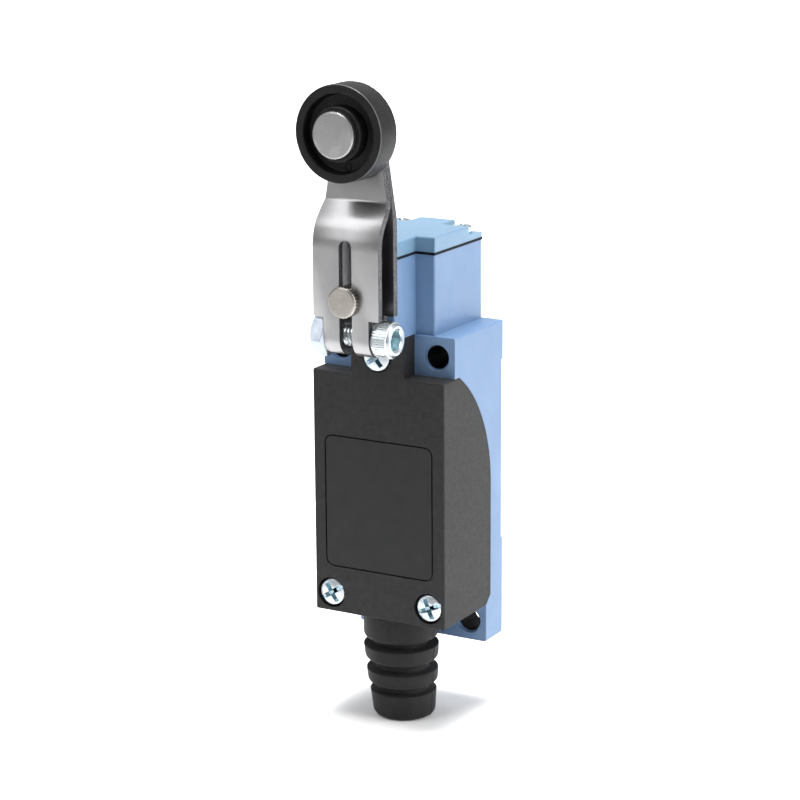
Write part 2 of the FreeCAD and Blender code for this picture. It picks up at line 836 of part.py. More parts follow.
def coil_spring(label, centre, low, high, coil_diameter, wire_diameter, turns):
    """A helical compression spring that stands between two heights."""
    height = size(high) - low - wire_diameter
    helix = doc.addObject("Part::Helix", f"{label}_path")
    helix.setExpression("Pitch", (height / turns).formula)
    helix.setExpression("Height", height.formula)
    helix.setExpression("Radius", (size(coil_diameter) / 2).formula)
    wire = doc.addObject("Part::Circle", f"{label}_wire")
    wire.setExpression("Radius", (size(wire_diameter) / 2).formula)
    wire.Placement = Placement(Vector(coil_diameter / 2, 0, 0), Rotation(Vector(1, 0, 0), 90))
    sweep = doc.addObject("Part::Sweep", label)
    sweep.Label = label
    sweep.Sections = [wire]
    sweep.Spine = (helix, ["Edge1"])
    sweep.Solid = True
    sweep.Frenet = True
    start = size(low) + size(wire_diameter) / 2
    sweep.Placement = Placement(Vector(0, size(centre[1]).value, start.value), Rotation())
    sweep.setExpression("Placement.Base.y", size(centre[1]).formula)
    sweep.setExpression("Placement.Base.z", start.formula)
    return sweep


# ---------------------------------------------------------------- lever

def lever_arm():
    """One strip folded in a U: slotted, jogged together above, tapered behind the roller."""
    body = new_body("lever_arm")
    tip = D.roller_height + D.tip_radius + 1
    middle = (D.arm_front + D.arm_back) / 2
    outer = (D.arm_front - D.arm_back) / 2
    upper_back = D.arm_back + D.strip + D.strip_gap
    upper_front = upper_back + D.strip
    run = D.arm_front - upper_front
    rise = D.jog_high - D.jog_low
    lag = D.strip * (root(run * run + rise * rise) - rise) / run
    inner_front = D.arm_front - D.strip
    inner_back = D.arm_back + D.strip
    sketch = new_sketch(body, "side", -D.arm_width / 2)
    outline(sketch, [
        (-upper_front, tip), (-upper_front, D.jog_high), (-D.arm_front, D.jog_low),
        (-D.arm_front, D.bend_height), (-D.arm_back, D.bend_height), (-D.arm_back, tip),
        (-inner_back, tip), (-inner_back, D.bend_height), (-inner_front, D.bend_height),
        (-inner_front, D.jog_low - lag), (-upper_back, D.jog_high - lag), (-upper_back, tip),
    ], {3: (outer, 1), 7: (outer - D.strip, -1)})
    pad(body, sketch, D.arm_width)

    near = 0.05
    half = D.arm_width.value / 2 + 0.1
    for y, z, radius in (
        (-D.arm_front, D.jog_low, 10.0), (-inner_front, D.jog_low - lag, 8.6),
        (-upper_front, D.jog_high, 1.2), (-upper_back, D.jog_high - lag, 2.6),
    ):
        round_edges(body, (-half, y.value - near, z.value - near), (half, y.value + near, z.value + near),
                    radius)

    # outside of the tapered upper end
    half_arm = D.arm_width / 2
    sketch = new_sketch(body, "front", D.arm_back - 1)
    outline(sketch, [
        (-half_arm - 1, D.taper_start), (-half_arm, D.taper_start), (-D.tip_radius, D.roller_height),
        (D.tip_radius, D.roller_height), (half_arm, D.taper_start), (half_arm + 1, D.taper_start),
        (half_arm + 1, tip + 1), (-half_arm - 1, tip + 1),
    ], {2: (D.tip_radius, -1)})
    pocket(body, sketch, REACH, True)

    # narrower ears where the clamp bolt's head and nut seat
    sketch = new_sketch(body, "front", D.arm_back - 1)
    for left, right in ((-half_arm - 1, -D.ear_width / 2), (D.ear_width / 2, half_arm + 1)):
        rectangle(sketch, left, right, D.bend_height - 6, D.ear_top)
    pocket(body, sketch, REACH, True)

    # slot through both plates and the bend, and the hole for the roller pin
    sketch = new_sketch(body, "front", D.arm_back - 1)
    half_slot = D.slot_width / 2
    outline(sketch, [
        (-half_slot, D.bend_height - 6), (half_slot, D.bend_height - 6),
        (half_slot, D.slot_top - half_slot), (-half_slot, D.slot_top - half_slot),
    ], {2: (half_slot, 1)})
    pocket(body, sketch, REACH, True)
    cut_discs(body, [(size(0), D.roller_height)], D.pin_diameter + 0.1, D.arm_back - 1, REACH)

    # softened corners where the taper starts
    for side in (-1, 1):
        x = side * half_arm.value
        z = D.taper_start.value
        round_edges(body, (x - near, -40, z - near), (x + near, -20, z + near), 14)
    return body


def clamp_bolt():
    """Socket head bolt across the bend that pinches the slotted halves onto the shaft's neck."""
    body = new_body("clamp_bolt")
    centre = (-(D.arm_front + D.arm_back) / 2, D.bend_height)
    seat = D.ear_width / 2
    pad_disc(body, centre, D.bolt_diameter, -D.bolt_tip, seat + 0.1, "side")
    pad_disc(body, centre, D.bolt_head_diameter, seat, seat + D.bolt_head_length, "side")
    face = (seat + D.bolt_head_length).value
    bevel_edges(body, (face - 0.02, -60, 0), (face + 0.02, 0, 60), 0.35)
    sketch = new_sketch(body, "side", seat + D.bolt_head_length)
    hexagon(sketch, centre, 3.0, 0)
    pocket(body, sketch, 2.2, False)
    return body


def hexagon(sketch, centre, across_flats, turn):
    """A regular hexagon whose first corner is turned from the sketch's +X by turn degrees."""
    corner = size(across_flats) / root(size(3))
    x, y = centre
    angles = [math.radians(turn + 60 * number) for number in range(6)]
    outline(sketch, [(x + corner * math.cos(angle), y + corner * math.sin(angle)) for angle in angles])


def clamp_nut():
    body = new_body("clamp_nut")
    centre = (-(D.arm_front + D.arm_back) / 2, D.bend_height)
    seat = -D.ear_width / 2
    sketch = new_sketch(body, "side", seat - D.nut_length)
    hexagon(sketch, centre, D.nut_across_flats, 11)
    pad(body, sketch, D.nut_length)
    cut_discs(body, [centre], D.bolt_diameter + 0.1, seat - D.nut_length - 1, seat + 1, "side")
    return body


# ---------------------------------------------------------------- roller

def roller():
    """Moulded roller: rim, thin web with a round gate mark, and a hub that stands proud."""
    body = new_body("roller")
    axis = (size(0), D.roller_height)
    pad_disc(body, axis, D.roller_diameter, D.roller_back, D.roller_front)
    front = D.roller_front.value
    back = D.roller_back.value
    round_edges(body, (-12, -front - 0.05, 55), (12, -front + 0.05, 90), 0.25)
    round_edges(body, (-12, -back - 0.05, 55), (12, -back + 0.05, 90), 0.25)
    cut_discs(body, [axis], D.roller_recess_diameter, D.roller_front - D.roller_recess_depth, REACH)
    pad_disc(body, axis, D.roller_hub_diameter, D.roller_front - D.roller_recess_depth - 0.5,
             D.roller_hub_front)
    cut_discs(body, [axis], D.sleeve_diameter + D.running_gap * 2, 0, REACH)
    mark = (size(0.7), D.roller_height - 6.2)
    cut_discs(body, [mark], 1.1, D.roller_front - D.roller_recess_depth - 0.35, REACH)
    return body


def roller_sleeve():
    """Steel sleeve clamped between the pin's head and the arm, on which the roller turns."""
    body = new_body("roller_sleeve")
    axis = (size(0), D.roller_height)
    arm_face = D.arm_back + D.strip * 2 + D.strip_gap
    pad_disc(body, axis, D.sleeve_diameter, arm_face, D.pin_head_back)
    cut_discs(body, [axis], D.pin_diameter + 0.04, 0, REACH)
    return body


def roller_pin():
    """Headed pin, riveted over behind the arm."""
    body = new_body("roller_pin")
    axis = (size(0), D.roller_height)
    pad_disc(body, axis, D.pin_diameter, D.arm_back - 0.1, D.pin_head_back + 0.1)
    pad_disc(body, axis, D.pin_head_diameter, D.pin_head_back, D.pin_head_front)
    pad_disc(body, axis, 6.4, D.arm_back - 0.8, D.arm_back)
    front = D.pin_head_front.value
    bevel_edges(body, (-9, -front - 0.02, 55), (9, -front + 0.02, 90), 0.22)
    return body


# ---------------------------------------------------------------- cable gland

def cable_gland():
    """Rubber strain relief: inner flange, neck through the cover, collar and three tapering rings."""
    body = new_body("cable_gland")
    sketch = new_sketch(body, "side", 0)
    half_bore = D.gland_bore / 2
    half_neck = D.gland_neck / 2
    under_cover = D.cover_bottom - 0.03
    radii = [
        (half_bore, D.rim_bottom + 1.4), (D.gland_flange / 2, D.rim_bottom + 1.4),
        (D.gland_flange / 2, D.rim_bottom + 0.03), (half_neck, D.rim_bottom + 0.03),
        (half_neck, under_cover), (size(7.4), under_cover), (size(7.4), size(-28.6)),
        (size(6.3), size(-30.05)), (size(5.3), size(-30.05)),
    ]
    arcs = {6: (1.9, -1)}
    for ring_top, ring_low, wide, core in (
        (-31.5, -34.6, 7.45, 5.2), (-36.45, -39.35, 7.1, 5.0), (-40.9, -46.1, 6.55, 3.2),
    ):
        radii += [(radii[-1][0], size(ring_top)), (size(wide), size(ring_top))]
        arcs[len(radii)] = (1.6, -1)
        skirt = wide - 0.09 * (ring_top - ring_low - 1.4)
        radii += [(size(skirt), size(ring_low + 1.4)), (size(skirt - 1.1), size(ring_low)),
                  (size(core), size(ring_low))]
    # The last point runs back up the bore to the first.
    outline(sketch, [(radius - D.gland_depth, height) for radius, height in radii], arcs)
    axis = axis_line(sketch, (-D.gland_depth, size(0)), (-D.gland_depth, size(10)))
    turn = body.newObject("PartDesign::Revolution", "gland_turn")
    turn.Profile = sketch
    turn.ReferenceAxis = axis
    turn.Angle = 360
    return body


# ---------------------------------------------------------------- contact block

chamber_low = D.lower_contact - 8.4
chamber_high = D.upper_contact + 4.6


def contact_heights():
    """Mid heights of the four fixed-contact tongues, upper pair first."""
    upper = D.upper_contact + 0.45 + D.contact_sheet / 2
    lower = D.lower_contact - 0.35 - D.contact_sheet / 2
    return (upper, lower)


def switch_case():
    """Moulded case of the contact block: a central chamber and four open terminal bays."""
    body = new_body("switch_case")
    half_case = D.case_width / 2
    pad_box(body, -half_case, half_case, D.case_bottom, D.case_top, D.case_back + 0.02, D.case_front)
    half_chamber = D.chamber_width / 2
    cut_box(body, -half_chamber, half_chamber, chamber_low, chamber_high, D.case_back + 1.6, REACH)
    for x, z in terminals:
        cut_box(body, x - 2.5, x + 2.5, z - 2.9, z + 3.6, D.bay_floor, REACH)
    # slots that pass the fixed contacts from the bays into the chamber
    slot = D.contact_sheet / 2 + 0.05
    for height in contact_heights():
        for side in (-1, 1):
            near = D.chamber_width / 2 * side - 0.1 * side
            far = (D.terminal_offset - 1.9) * side
            left, right = (near, far) if side > 0 else (far, near)
            cut_box(body, left, right, height - slot, height + slot, 9.4, REACH)
    cut_discs(body, [plunger_axis], 3.5, D.case_top - 4, REACH, "top")
    cut_discs(body, terminals, 2.4, D.bay_floor - 4, REACH)
    cut_discs(body, case_screws, 3.0, 0, REACH)
    return body


def switch_lid():
    """Lid over the contact chamber."""
    body = new_body("switch_lid")
    half = D.chamber_width / 2 + 0.6
    pad_box(body, -half, half, chamber_low - 0.8, chamber_high + 0.8, D.case_front + 0.02,
            D.case_front + D.lid_thickness)
    half = D.chamber_width / 2 - 0.1
    pad_box(body, -half, half, chamber_low + 0.1, chamber_high - 0.1, D.case_front - 0.6, D.case_front + 0.1)
    return body


def contact_carrier():
    """Sliding carrier for the two bridges, with a stem that the plunger pushes."""
    body = new_body("contact_carrier")
    low = D.lower_contact - 2.6
    high = D.upper_contact + 2.4
    pad_box(body, size(-1.9), size(1.9), low, high, 7.4, 14.6)
    pad_disc(body, plunger_axis, 3.3, high - 0.1, D.plunger_bottom - 0.05, "top")
    for middle in bridge_heights():
        cut_box(body, size(-3), size(3), middle - 0.8, middle + 0.8, 9.4, 13.4)
    return body


def bridge_heights():
    """Mid heights of the moving bridges at rest: closed pair above, open pair below."""
    upper = D.upper_contact - 0.75
    lower = D.lower_contact + D.contact_gap + 0.75
    return (upper, lower)


def contact_bridge(label, middle, facing):
    """A sprung bridge with a silver button at each end, facing up (+1) or down (-1)."""
    body = new_body(label)
    pad_box(body, size(-4), size(4), middle - 0.25, middle + 0.25, 9.5, 13.3)
    for side in (-1, 1):
        centre = (size(3.3 * side), -D.plunger_depth)
        sketch = new_sketch(body, "top", middle + 0.2 * facing)
        circle(sketch, centre, 1.3)
        pad(body, sketch, 0.55, facing > 0)
    return body


def terminal(label, side, place, height, facing):
    """Fixed contact: a tongue into the chamber, a riser and the clamp pad in its bay."""
    body = new_body(label)
    half_sheet = D.contact_sheet / 2
    inner = size(2.55) * side
    riser = (D.terminal_offset - 2.0) * side
    left, right = (inner, riser) if side > 0 else (riser, inner)
    pad_box(body, left, right, height - half_sheet, height + half_sheet, 9.5, D.bay_floor + 0.65)
    x, z = place
    outer = (D.terminal_offset + 2.3) * side
    root_x = (D.terminal_offset - 2.3) * side
    left, right = (root_x, outer) if side > 0 else (outer, root_x)
    pad_box(body, left, right, z - 2.6, height + half_sheet, D.bay_floor + 0.02, D.bay_floor + 0.65)
    cut_discs(body, [place], 2.6, D.bay_floor - 1, REACH)
    sketch = new_sketch(body, "top", height - (half_sheet - 0.05) * facing)
    circle(sketch, (size(3.3 * side), -D.plunger_depth), 1.3)
    length = 0.49 if facing > 0 else 0.39
    pad(body, sketch, length, facing < 0)
    return body


def terminal_clamp(label, place):
    """Square clamp washer under a terminal screw."""
    body = new_body(label)
    x, z = place
    pad_box(body, x - 2.1, x + 2.1, z - 2.1, z + 2.1, D.bay_floor + 0.68, D.bay_floor + 1.3)
    cut_discs(body, [place], 2.6, D.bay_floor - 1, REACH)
    return body


# ---------------------------------------------------------------- build

def build():
    """Every sub-part of the switch, in the order it goes together."""
    pieces = [housing()]
    gasket = cover_gasket()
    pieces += [gasket, front_cover(gasket), label_plate(), head_cap_gasket(), head_cap()]

    lower = [
        pan_screw(f"cover_screw_{number}", "front", place, D.cover_seat_depth + 0.02, D.screw_head_diameter,
                  D.screw_head_height, D.screw_thread_diameter, D.cover_seat_depth - 1.4)
        for number, place in enumerate(cover_screws)
    ]
    pieces.append(group("cover_screws", lower))
    pieces.append(pan_screw("tab_screw", "front", tab_screw, D.tab_seat_depth + 0.02, D.screw_head_diameter,
                            D.screw_head_height, D.screw_thread_diameter, 7.4))
    cap_seat = D.head_top + D.gasket_thickness + D.cap_thickness - D.cap_pocket_depth + 0.02
    small = [
        pan_screw(f"cap_screw_{number}", "top", place, cap_seat, 4.2, 1.6, 1.8, 7.6)
        for number, place in enumerate(cap_screws)
    ]
    pieces.append(group("head_cap_screws", small))

    pieces += [lever_shaft(), shaft_bush(), shaft_seal(), shaft_clip(), cam_leaf_spring()]
    pieces += [plunger(), plunger_guide()]
    pieces.append(coil_spring("plunger_spring", plunger_axis, D.spring_well_floor + 0.65,
                              D.plunger_top - 1.35, 5.6, 0.6, 5))
    pieces += [lever_arm(), clamp_bolt(), clamp_nut(), roller(), roller_sleeve(), roller_pin()]
    pieces.append(cable_gland())

    pieces += [switch_case(), switch_lid(), contact_carrier()]
    upper_bridge, lower_bridge = bridge_heights()
    pieces.append(contact_bridge("break_bridge", upper_bridge, 1))
    pieces.append(contact_bridge("make_bridge", lower_bridge, -1))
    pieces.append(coil_spring("carrier_spring", plunger_axis, chamber_low + 0.02,
                              D.lower_contact - 2.65, 2.8, 0.4, 4))
    upper_tongue, lower_tongue = contact_heights()
    names = ("break_terminal_left", "break_terminal_right", "make_terminal_left", "make_terminal_right")
    for name, place in zip(names, terminals):
        is_upper = name.startswith("break")
        side = -1 if name.endswith("left") else 1
        height = upper_tongue if is_upper else lower_tongue
        pieces.append(terminal(name, side, place, height, 1 if is_upper else -1))
    pieces.append(group("terminal_clamps", [
        terminal_clamp(f"terminal_clamp_{number}", place) for number, place in enumerate(terminals)
    ]))
    pieces.append(group("terminal_screws", [
        pan_screw(f"terminal_screw_{number}", "front", place, D.bay_floor + 1.32, 4.2, 1.3, 2.3, 4.6)
        for number, place in enumerate(terminals)
    ]))
    pieces.append(group("switch_case_screws", [
        pan_screw(f"case_screw_{number}", "front", place, D.case_front + 0.02, 4.2, 1.3, 2.6, 14.8)
        for number, place in enumerate(case_screws)
    ]))
    pieces.append(pan_screw("earth_screw", "front", earth_screw, 4.42, 4.6, 1.5, 2.6, 3.3))
    return pieces


def check_and_write(pieces):
    """Refuse any failed object, then write each piece to its own file."""
    doc.recompute()
    for item in doc.Objects:
        if "Invalid" in item.State or "Error" in item.State:
            raise RuntimeError(f"{item.Label} is {item.State}")
    os.makedirs("parts", exist_ok=True)
    for name in os.listdir("parts"):
        if name.endswith(".step"):
            os.remove(os.path.join("parts", name))
    for piece in pieces:
        shape = piece.Shape
        if shape.isNull() or not shape.isValid() or not shape.Solids:
            raise RuntimeError(f"{piece.Label} has no valid solid")
        shape.exportStep(os.path.join("parts", f"{piece.Label}.step"))
        print(f"{piece.Label}: {len(shape.Solids)} solid(s), {shape.Volume:.1f} mm3")


check_and_write(build())
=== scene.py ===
"""The looks of a compact limit switch with a roller lever, built around its CAD frame.

Lengths are in metres in the frame's own axes: +Z up to the roller, -Y out of the front cover and +X to the right
seen from the front. Sizes that a maker would read off a drawing are given in millimetres and turned with mm().
"""

import json
import logging
import math
from dataclasses import dataclass
from enum import Enum
from typing import Callable

import bmesh
import bpy
from mathutils import Matrix, Vector


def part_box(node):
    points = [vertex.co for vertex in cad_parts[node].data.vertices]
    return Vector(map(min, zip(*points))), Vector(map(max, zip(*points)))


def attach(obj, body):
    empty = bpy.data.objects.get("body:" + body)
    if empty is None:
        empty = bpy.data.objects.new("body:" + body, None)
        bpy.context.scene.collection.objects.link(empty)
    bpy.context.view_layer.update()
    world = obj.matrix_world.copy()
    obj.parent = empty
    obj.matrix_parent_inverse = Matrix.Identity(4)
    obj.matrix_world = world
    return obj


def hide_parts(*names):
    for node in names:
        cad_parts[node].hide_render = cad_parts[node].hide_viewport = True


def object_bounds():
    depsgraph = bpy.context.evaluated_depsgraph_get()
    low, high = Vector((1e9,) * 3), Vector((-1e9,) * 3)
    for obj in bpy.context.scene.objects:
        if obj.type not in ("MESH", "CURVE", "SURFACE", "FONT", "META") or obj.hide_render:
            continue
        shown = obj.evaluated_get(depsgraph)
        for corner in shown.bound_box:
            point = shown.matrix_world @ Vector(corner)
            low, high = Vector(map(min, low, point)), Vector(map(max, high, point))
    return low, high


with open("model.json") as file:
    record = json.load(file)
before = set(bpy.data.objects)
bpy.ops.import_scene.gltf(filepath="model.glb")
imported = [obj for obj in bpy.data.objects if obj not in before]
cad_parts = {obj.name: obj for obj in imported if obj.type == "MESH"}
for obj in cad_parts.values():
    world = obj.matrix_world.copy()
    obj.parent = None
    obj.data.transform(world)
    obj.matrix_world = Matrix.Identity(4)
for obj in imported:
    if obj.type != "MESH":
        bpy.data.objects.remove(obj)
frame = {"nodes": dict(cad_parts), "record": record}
CAD_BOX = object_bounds()

LOG = logging.getLogger("limit_switch")
SMOOTH_ANGLE = math.radians(32.0)
# A rounding takes at most this share of a side, so that two roundings never meet.
SIDE_SHARE = 0.48

Triple = tuple[float, float, float]
Section = list[tuple[float, float]]
Shaping = Callable[[float, float, float], float]


def mm(length: float) -> float:
    """Turns millimetres to metres."""
    return length / 1000.0


def in_mm(length: float) -> float:
    """Turns metres to millimetres."""
    return length * 1000.0


def linear(hex_colour: str) -> tuple[float, float, float, float]:
    """Turns an sRGB colour to the linear values that shaders use.

    Args:
        hex_colour: The colour as "#rrggbb".

    Returns:
        Linear red, green and blue, with an alpha of one.
    """
    values = []
    for start in (1, 3, 5):
        share = int(hex_colour[start:start + 2], 16) / 255.0
        values.append(share / 12.92 if share <= 0.04045 else ((share + 0.055) / 1.055) ** 2.4)
    return (values[0], values[1], values[2], 1.0)


def add_node(tree: bpy.types.NodeTree, kind: str, settings: dict | None = None,
             links: dict | None = None) -> bpy.types.Node:
    """Adds one shader node with its settings and its incoming links.

    Args:
        tree: The node tree of the material or world.
        kind: The node's type name in Blender.
        settings: Input sockets (by name or number) and properties (by name) with their values.
        links: Input sockets with the output socket that feeds each of them.

    Returns:
        The new node.
    """
    node = tree.nodes.new(kind)
    for key, value in (settings or {}).items():
        if isinstance(key, int) or (key in node.inputs and not hasattr(node, key)):
            node.inputs[key].default_value = value
        else:
            setattr(node, key, value)
    for key, socket in (links or {}).items():
        tree.links.new(socket, node.inputs[key])
    return node


class Pattern:
    """A material under construction: its tree, its shader and the coordinates of the piece it covers."""

    def __init__(self, name: str, settings: dict) -> None:
        """Starts a material with one principled shader.

        Args:
            name: The material's name.
            settings: Sockets of the principled shader with their constant values.
        """
        self.material = bpy.data.materials.new(name)
        self.material.use_nodes = True
        self.tree = self.material.node_tree
        self.tree.nodes.clear()
        self.shader = add_node(self.tree, "ShaderNodeBsdfPrincipled", settings)
        output = add_node(self.tree, "ShaderNodeOutputMaterial", links={"Surface": self.shader.outputs[0]})
        output.target = "ALL"
        self.place = add_node(self.tree, "ShaderNodeTexCoord")

    def noise(self, spacing_mm: float, detail: float = 2.0,
              stretch: Triple = (1.0, 1.0, 1.0)) -> bpy.types.NodeSocket:
        """Adds noise of a real size over the piece.

        Args:
            spacing_mm: The distance from one blot to the next, in millimetres.
            detail: How many finer layers the noise has.
            stretch: How many times closer the blots lie along each axis.

        Returns:
            The noise's value socket, which runs from 0 to 1.
        """
        where = self.place.outputs["Object"]
        if stretch != (1.0, 1.0, 1.0):
            where = add_node(self.tree, "ShaderNodeMapping", {"Scale": stretch}, {"Vector": where}).outputs[0]
        noise = add_node(
            self.tree, "ShaderNodeTexNoise",
            {"Scale": 1.0 / mm(spacing_mm), "Detail": detail, "Roughness": 0.55}, {"Vector": where},
        )
        return noise.outputs["Fac"]

    def spread(self, source: bpy.types.NodeSocket, low: float, high: float,
               from_low: float = 0.3, from_high: float = 0.7) -> bpy.types.NodeSocket:
        """Maps a value socket from one range to another.

        Args:
            source: The value to map.
            low: The result at the start of the range.
            high: The result at its end.
            from_low: Where the source range starts.
            from_high: Where it ends.

        Returns:
            The mapped value.
        """
        node = add_node(
            self.tree, "ShaderNodeMapRange",
            {"From Min": from_low, "From Max": from_high, "To Min": low, "To Max": high}, {"Value": source},
        )
        return node.outputs["Result"]

    def tint(self, share: bpy.types.NodeSocket, first: str, second: str) -> bpy.types.NodeSocket:
        """Mixes two colours by a value.

        Args:
            share: How much of the second colour there is.
            first: The colour at 0, as sRGB hex.
            second: The colour at 1, as sRGB hex.

        Returns:
            The mixed colour.
        """
        ramp = add_node(self.tree, "ShaderNodeValToRGB", links={"Fac": share})
        ramp.color_ramp.elements[0].color = linear(first)
        ramp.color_ramp.elements[1].color = linear(second)
        return ramp.outputs["Color"]

    def colour(self, source: bpy.types.NodeSocket) -> None:
        """Feeds the shader's base colour."""
        self.tree.links.new(source, self.shader.inputs["Base Color"])

    def roughness(self, source: bpy.types.NodeSocket) -> None:
        """Feeds the shader's roughness."""
        self.tree.links.new(source, self.shader.inputs["Roughness"])

    def bump(self, *layers: tuple[bpy.types.NodeSocket, float]) -> None:
        """Gives the surface small relief.

        Args:
            layers: Height patterns, each with its real height in millimetres.
        """
        normal = None
        for height, depth_mm in layers:
            node = add_node(
                self.tree, "ShaderNodeBump", {"Strength": 1.0, "Distance": mm(depth_mm)}, {"Height": height},
            )
            if normal is not None:
                self.tree.links.new(normal, node.inputs["Normal"])
            normal = node.outputs["Normal"]
        self.tree.links.new(normal, self.shader.inputs["Normal"])


@dataclass(frozen=True)
class PowderCoat:
    """Polyester powder baked on a zinc die casting.

    The eye gets an even colour under a satin skin with a fine orange peel, and painted shade in the mounting
    holes, whose walls are dark and nearly without gloss where they run deep.
    """

    name: str = "powder_coated_zinc"
    body: str = "#6582a6"
    thin: str = "#6b88ac"
    # The colour of the painted shade on the mounting holes' walls.
    bore: str = "#0d1219"
    roughness: float = 0.40
    # Powder flows out to an orange peel about half a millimetre wide.
    peel_mm: float = 0.55
    cloud_mm: float = 9.0
    # The mounting holes, and how far past their radius the painted shade of their walls fades out.
    hole_across_mm: float = 10.5
    hole_up_mm: float = 28.0
    hole_radius_mm: float = 2.2
    wall_start_mm: float = 0.06
    wall_end_mm: float = 0.16
    # The coat's gloss, and the lower gloss of the painted shade in the holes.
    gloss: float = 0.5
    bore_shade_gloss: float = 0.05

    def bores(self, pattern: Pattern) -> bpy.types.NodeSocket:
        """Finds the walls of the four mounting holes, which take painted shade.

        Args:
            pattern: The material under construction.

        Returns:
            A value that is 1 in the holes and 0 elsewhere.
        """
        tree = pattern.tree
        axes = add_node(tree, "ShaderNodeSeparateXYZ", links={"Vector": pattern.place.outputs["Object"]})
        squares = []
        for axis, offset in (("X", self.hole_across_mm), ("Z", self.hole_up_mm)):
            size = add_node(tree, "ShaderNodeMath", {"operation": "ABSOLUTE"}, {0: axes.outputs[axis]})
            away = add_node(tree, "ShaderNodeMath", {"operation": "SUBTRACT", 1: mm(offset)}, {0: size.outputs[0]})
            squares.append(add_node(tree, "ShaderNodeMath", {"operation": "POWER", 1: 2.0}, {0: away.outputs[0]}))
        total = add_node(
            tree, "ShaderNodeMath", {"operation": "ADD"}, {0: squares[0].outputs[0], 1: squares[1].outputs[0]},
        )
        reach = add_node(tree, "ShaderNodeMath", {"operation": "SQRT"}, {0: total.outputs[0]})
        return pattern.spread(reach.outputs[0], 1.0, 0.0, mm(self.hole_radius_mm + self.wall_start_mm),
                              mm(self.hole_radius_mm + self.wall_end_mm))

    def make(self) -> bpy.types.Material:
        """Builds the material.

        Returns:
            The coat, with painted shade in the bores: matt and dark there.
        """
        pattern = Pattern(self.name, {"IOR": 1.5, "Roughness": self.roughness})
        cloud = pattern.noise(self.cloud_mm)
        coat = pattern.tint(pattern.spread(cloud, 0.0, 1.0), self.body, self.thin)
        # The mounting holes' walls take painted shade: a dark colour with little gloss.
        within = self.bores(pattern)
        mixed = add_node(
            pattern.tree, "ShaderNodeMix", {"data_type": "RGBA", 7: linear(self.bore)}, {0: within, 6: coat},
        )
        pattern.colour(mixed.outputs[2])
        pattern.tree.links.new(pattern.spread(within, self.gloss, self.bore_shade_gloss, 0.0, 1.0),
                               pattern.shader.inputs["Specular IOR Level"])
        fine = pattern.noise(self.peel_mm)
        pattern.roughness(pattern.spread(fine, self.roughness - 0.05, self.roughness + 0.08))
        pattern.bump((fine, 0.010), (cloud, 0.03))
        return pattern.material


@dataclass(frozen=True)
class MouldedCap:
    """Acetal or another unfilled plastic, moulded in a polished tool.

    The eye gets a clean, slightly glossy colour with faint flow marks.
    """

    name: str = "moulded_blue_acetal"
    body: str = "#7091ac"
    deep: str = "#6a8ba7"
    roughness: float = 0.34
    flow_mm: float = 6.0
    # The tool's polish is too fine to show, so its grain is drawn coarser than it is.
    grain_mm: float = 0.35

    def make(self) -> bpy.types.Material:
        """Builds the material.

        Returns:
            The plastic, with faint flow marks.
        """
        pattern = Pattern(self.name, {"IOR": 1.48, "Roughness": self.roughness})
        flow = pattern.noise(self.flow_mm)
        pattern.colour(pattern.tint(pattern.spread(flow, 0.0, 1.0), self.body, self.deep))
        grain = pattern.noise(self.grain_mm)
        pattern.roughness(pattern.spread(grain, self.roughness - 0.04, self.roughness + 0.06))
        pattern.bump((grain, 0.004), (flow, 0.02))
        return pattern.material


@dataclass(frozen=True)
class MouldedBlack:
    """Glass-filled black polyamide from a spark-eroded tool.

    The eye gets a dry charcoal with a fine pebbled grain and faint pale mottling where the filler nears the skin.
    """

    name: str
    body: str = "#1b1b1c"
    pale: str = "#242425"
    roughness: float = 0.56
    # Spark erosion pits a tool about a tenth of a millimetre wide, which is drawn coarser so that it shows.
    pebble_mm: float = 0.38
    pebble_height_mm: float = 0.022
    mottle_mm: float = 1.6
    gloss: float = 0.3

    def make(self) -> bpy.types.Material:
        """Builds the material.

        Returns:
            The plastic, pebbled and mottled.
        """
        pattern = Pattern(self.name, {"IOR": 1.52, "Roughness": self.roughness, "Specular IOR Level": self.gloss})
        mottle = pattern.noise(self.mottle_mm, 4.0)
        pattern.colour(pattern.tint(pattern.spread(mottle, 0.0, 1.0), self.body, self.pale))
        pebble = pattern.noise(self.pebble_mm, 3.0)
        pattern.roughness(pattern.spread(pebble, self.roughness - 0.06, self.roughness + 0.10))
        pattern.bump((pebble, self.pebble_height_mm), (mottle, 0.01))
        return pattern.material


@dataclass(frozen=True)
class MouldedRubber:
    """Black rubber from a blasted tool: deep, dry and without a clear reflection, with a dusting of pale bloom."""

    name: str
    body: str = "#101011"
    bloom: str = "#1a1a1b"
    roughness: float = 0.66
    gloss: float = 0.3
    # The blasted tool's grain is finer; it is drawn coarser so that it shows.
    grain_mm: float = 0.30
    bloom_mm: float = 2.2

    def make(self) -> bpy.types.Material:
        """Builds the material.

        Returns:
            The rubber, with its dusting of bloom.
        """
        pattern = Pattern(self.name, {"IOR": 1.50, "Roughness": self.roughness, "Specular IOR Level": self.gloss,
                                      "Sheen Weight": 0.04, "Sheen Roughness": 0.5})
        bloom = pattern.noise(self.bloom_mm, 4.0)
        pattern.colour(pattern.tint(pattern.spread(bloom, 0.0, 1.0), self.body, self.bloom))
        grain = pattern.noise(self.grain_mm, 3.0)
        pattern.roughness(pattern.spread(grain, self.roughness - 0.06, self.roughness + 0.08))
        pattern.bump((grain, 0.016), (bloom, 0.015))
        return pattern.material


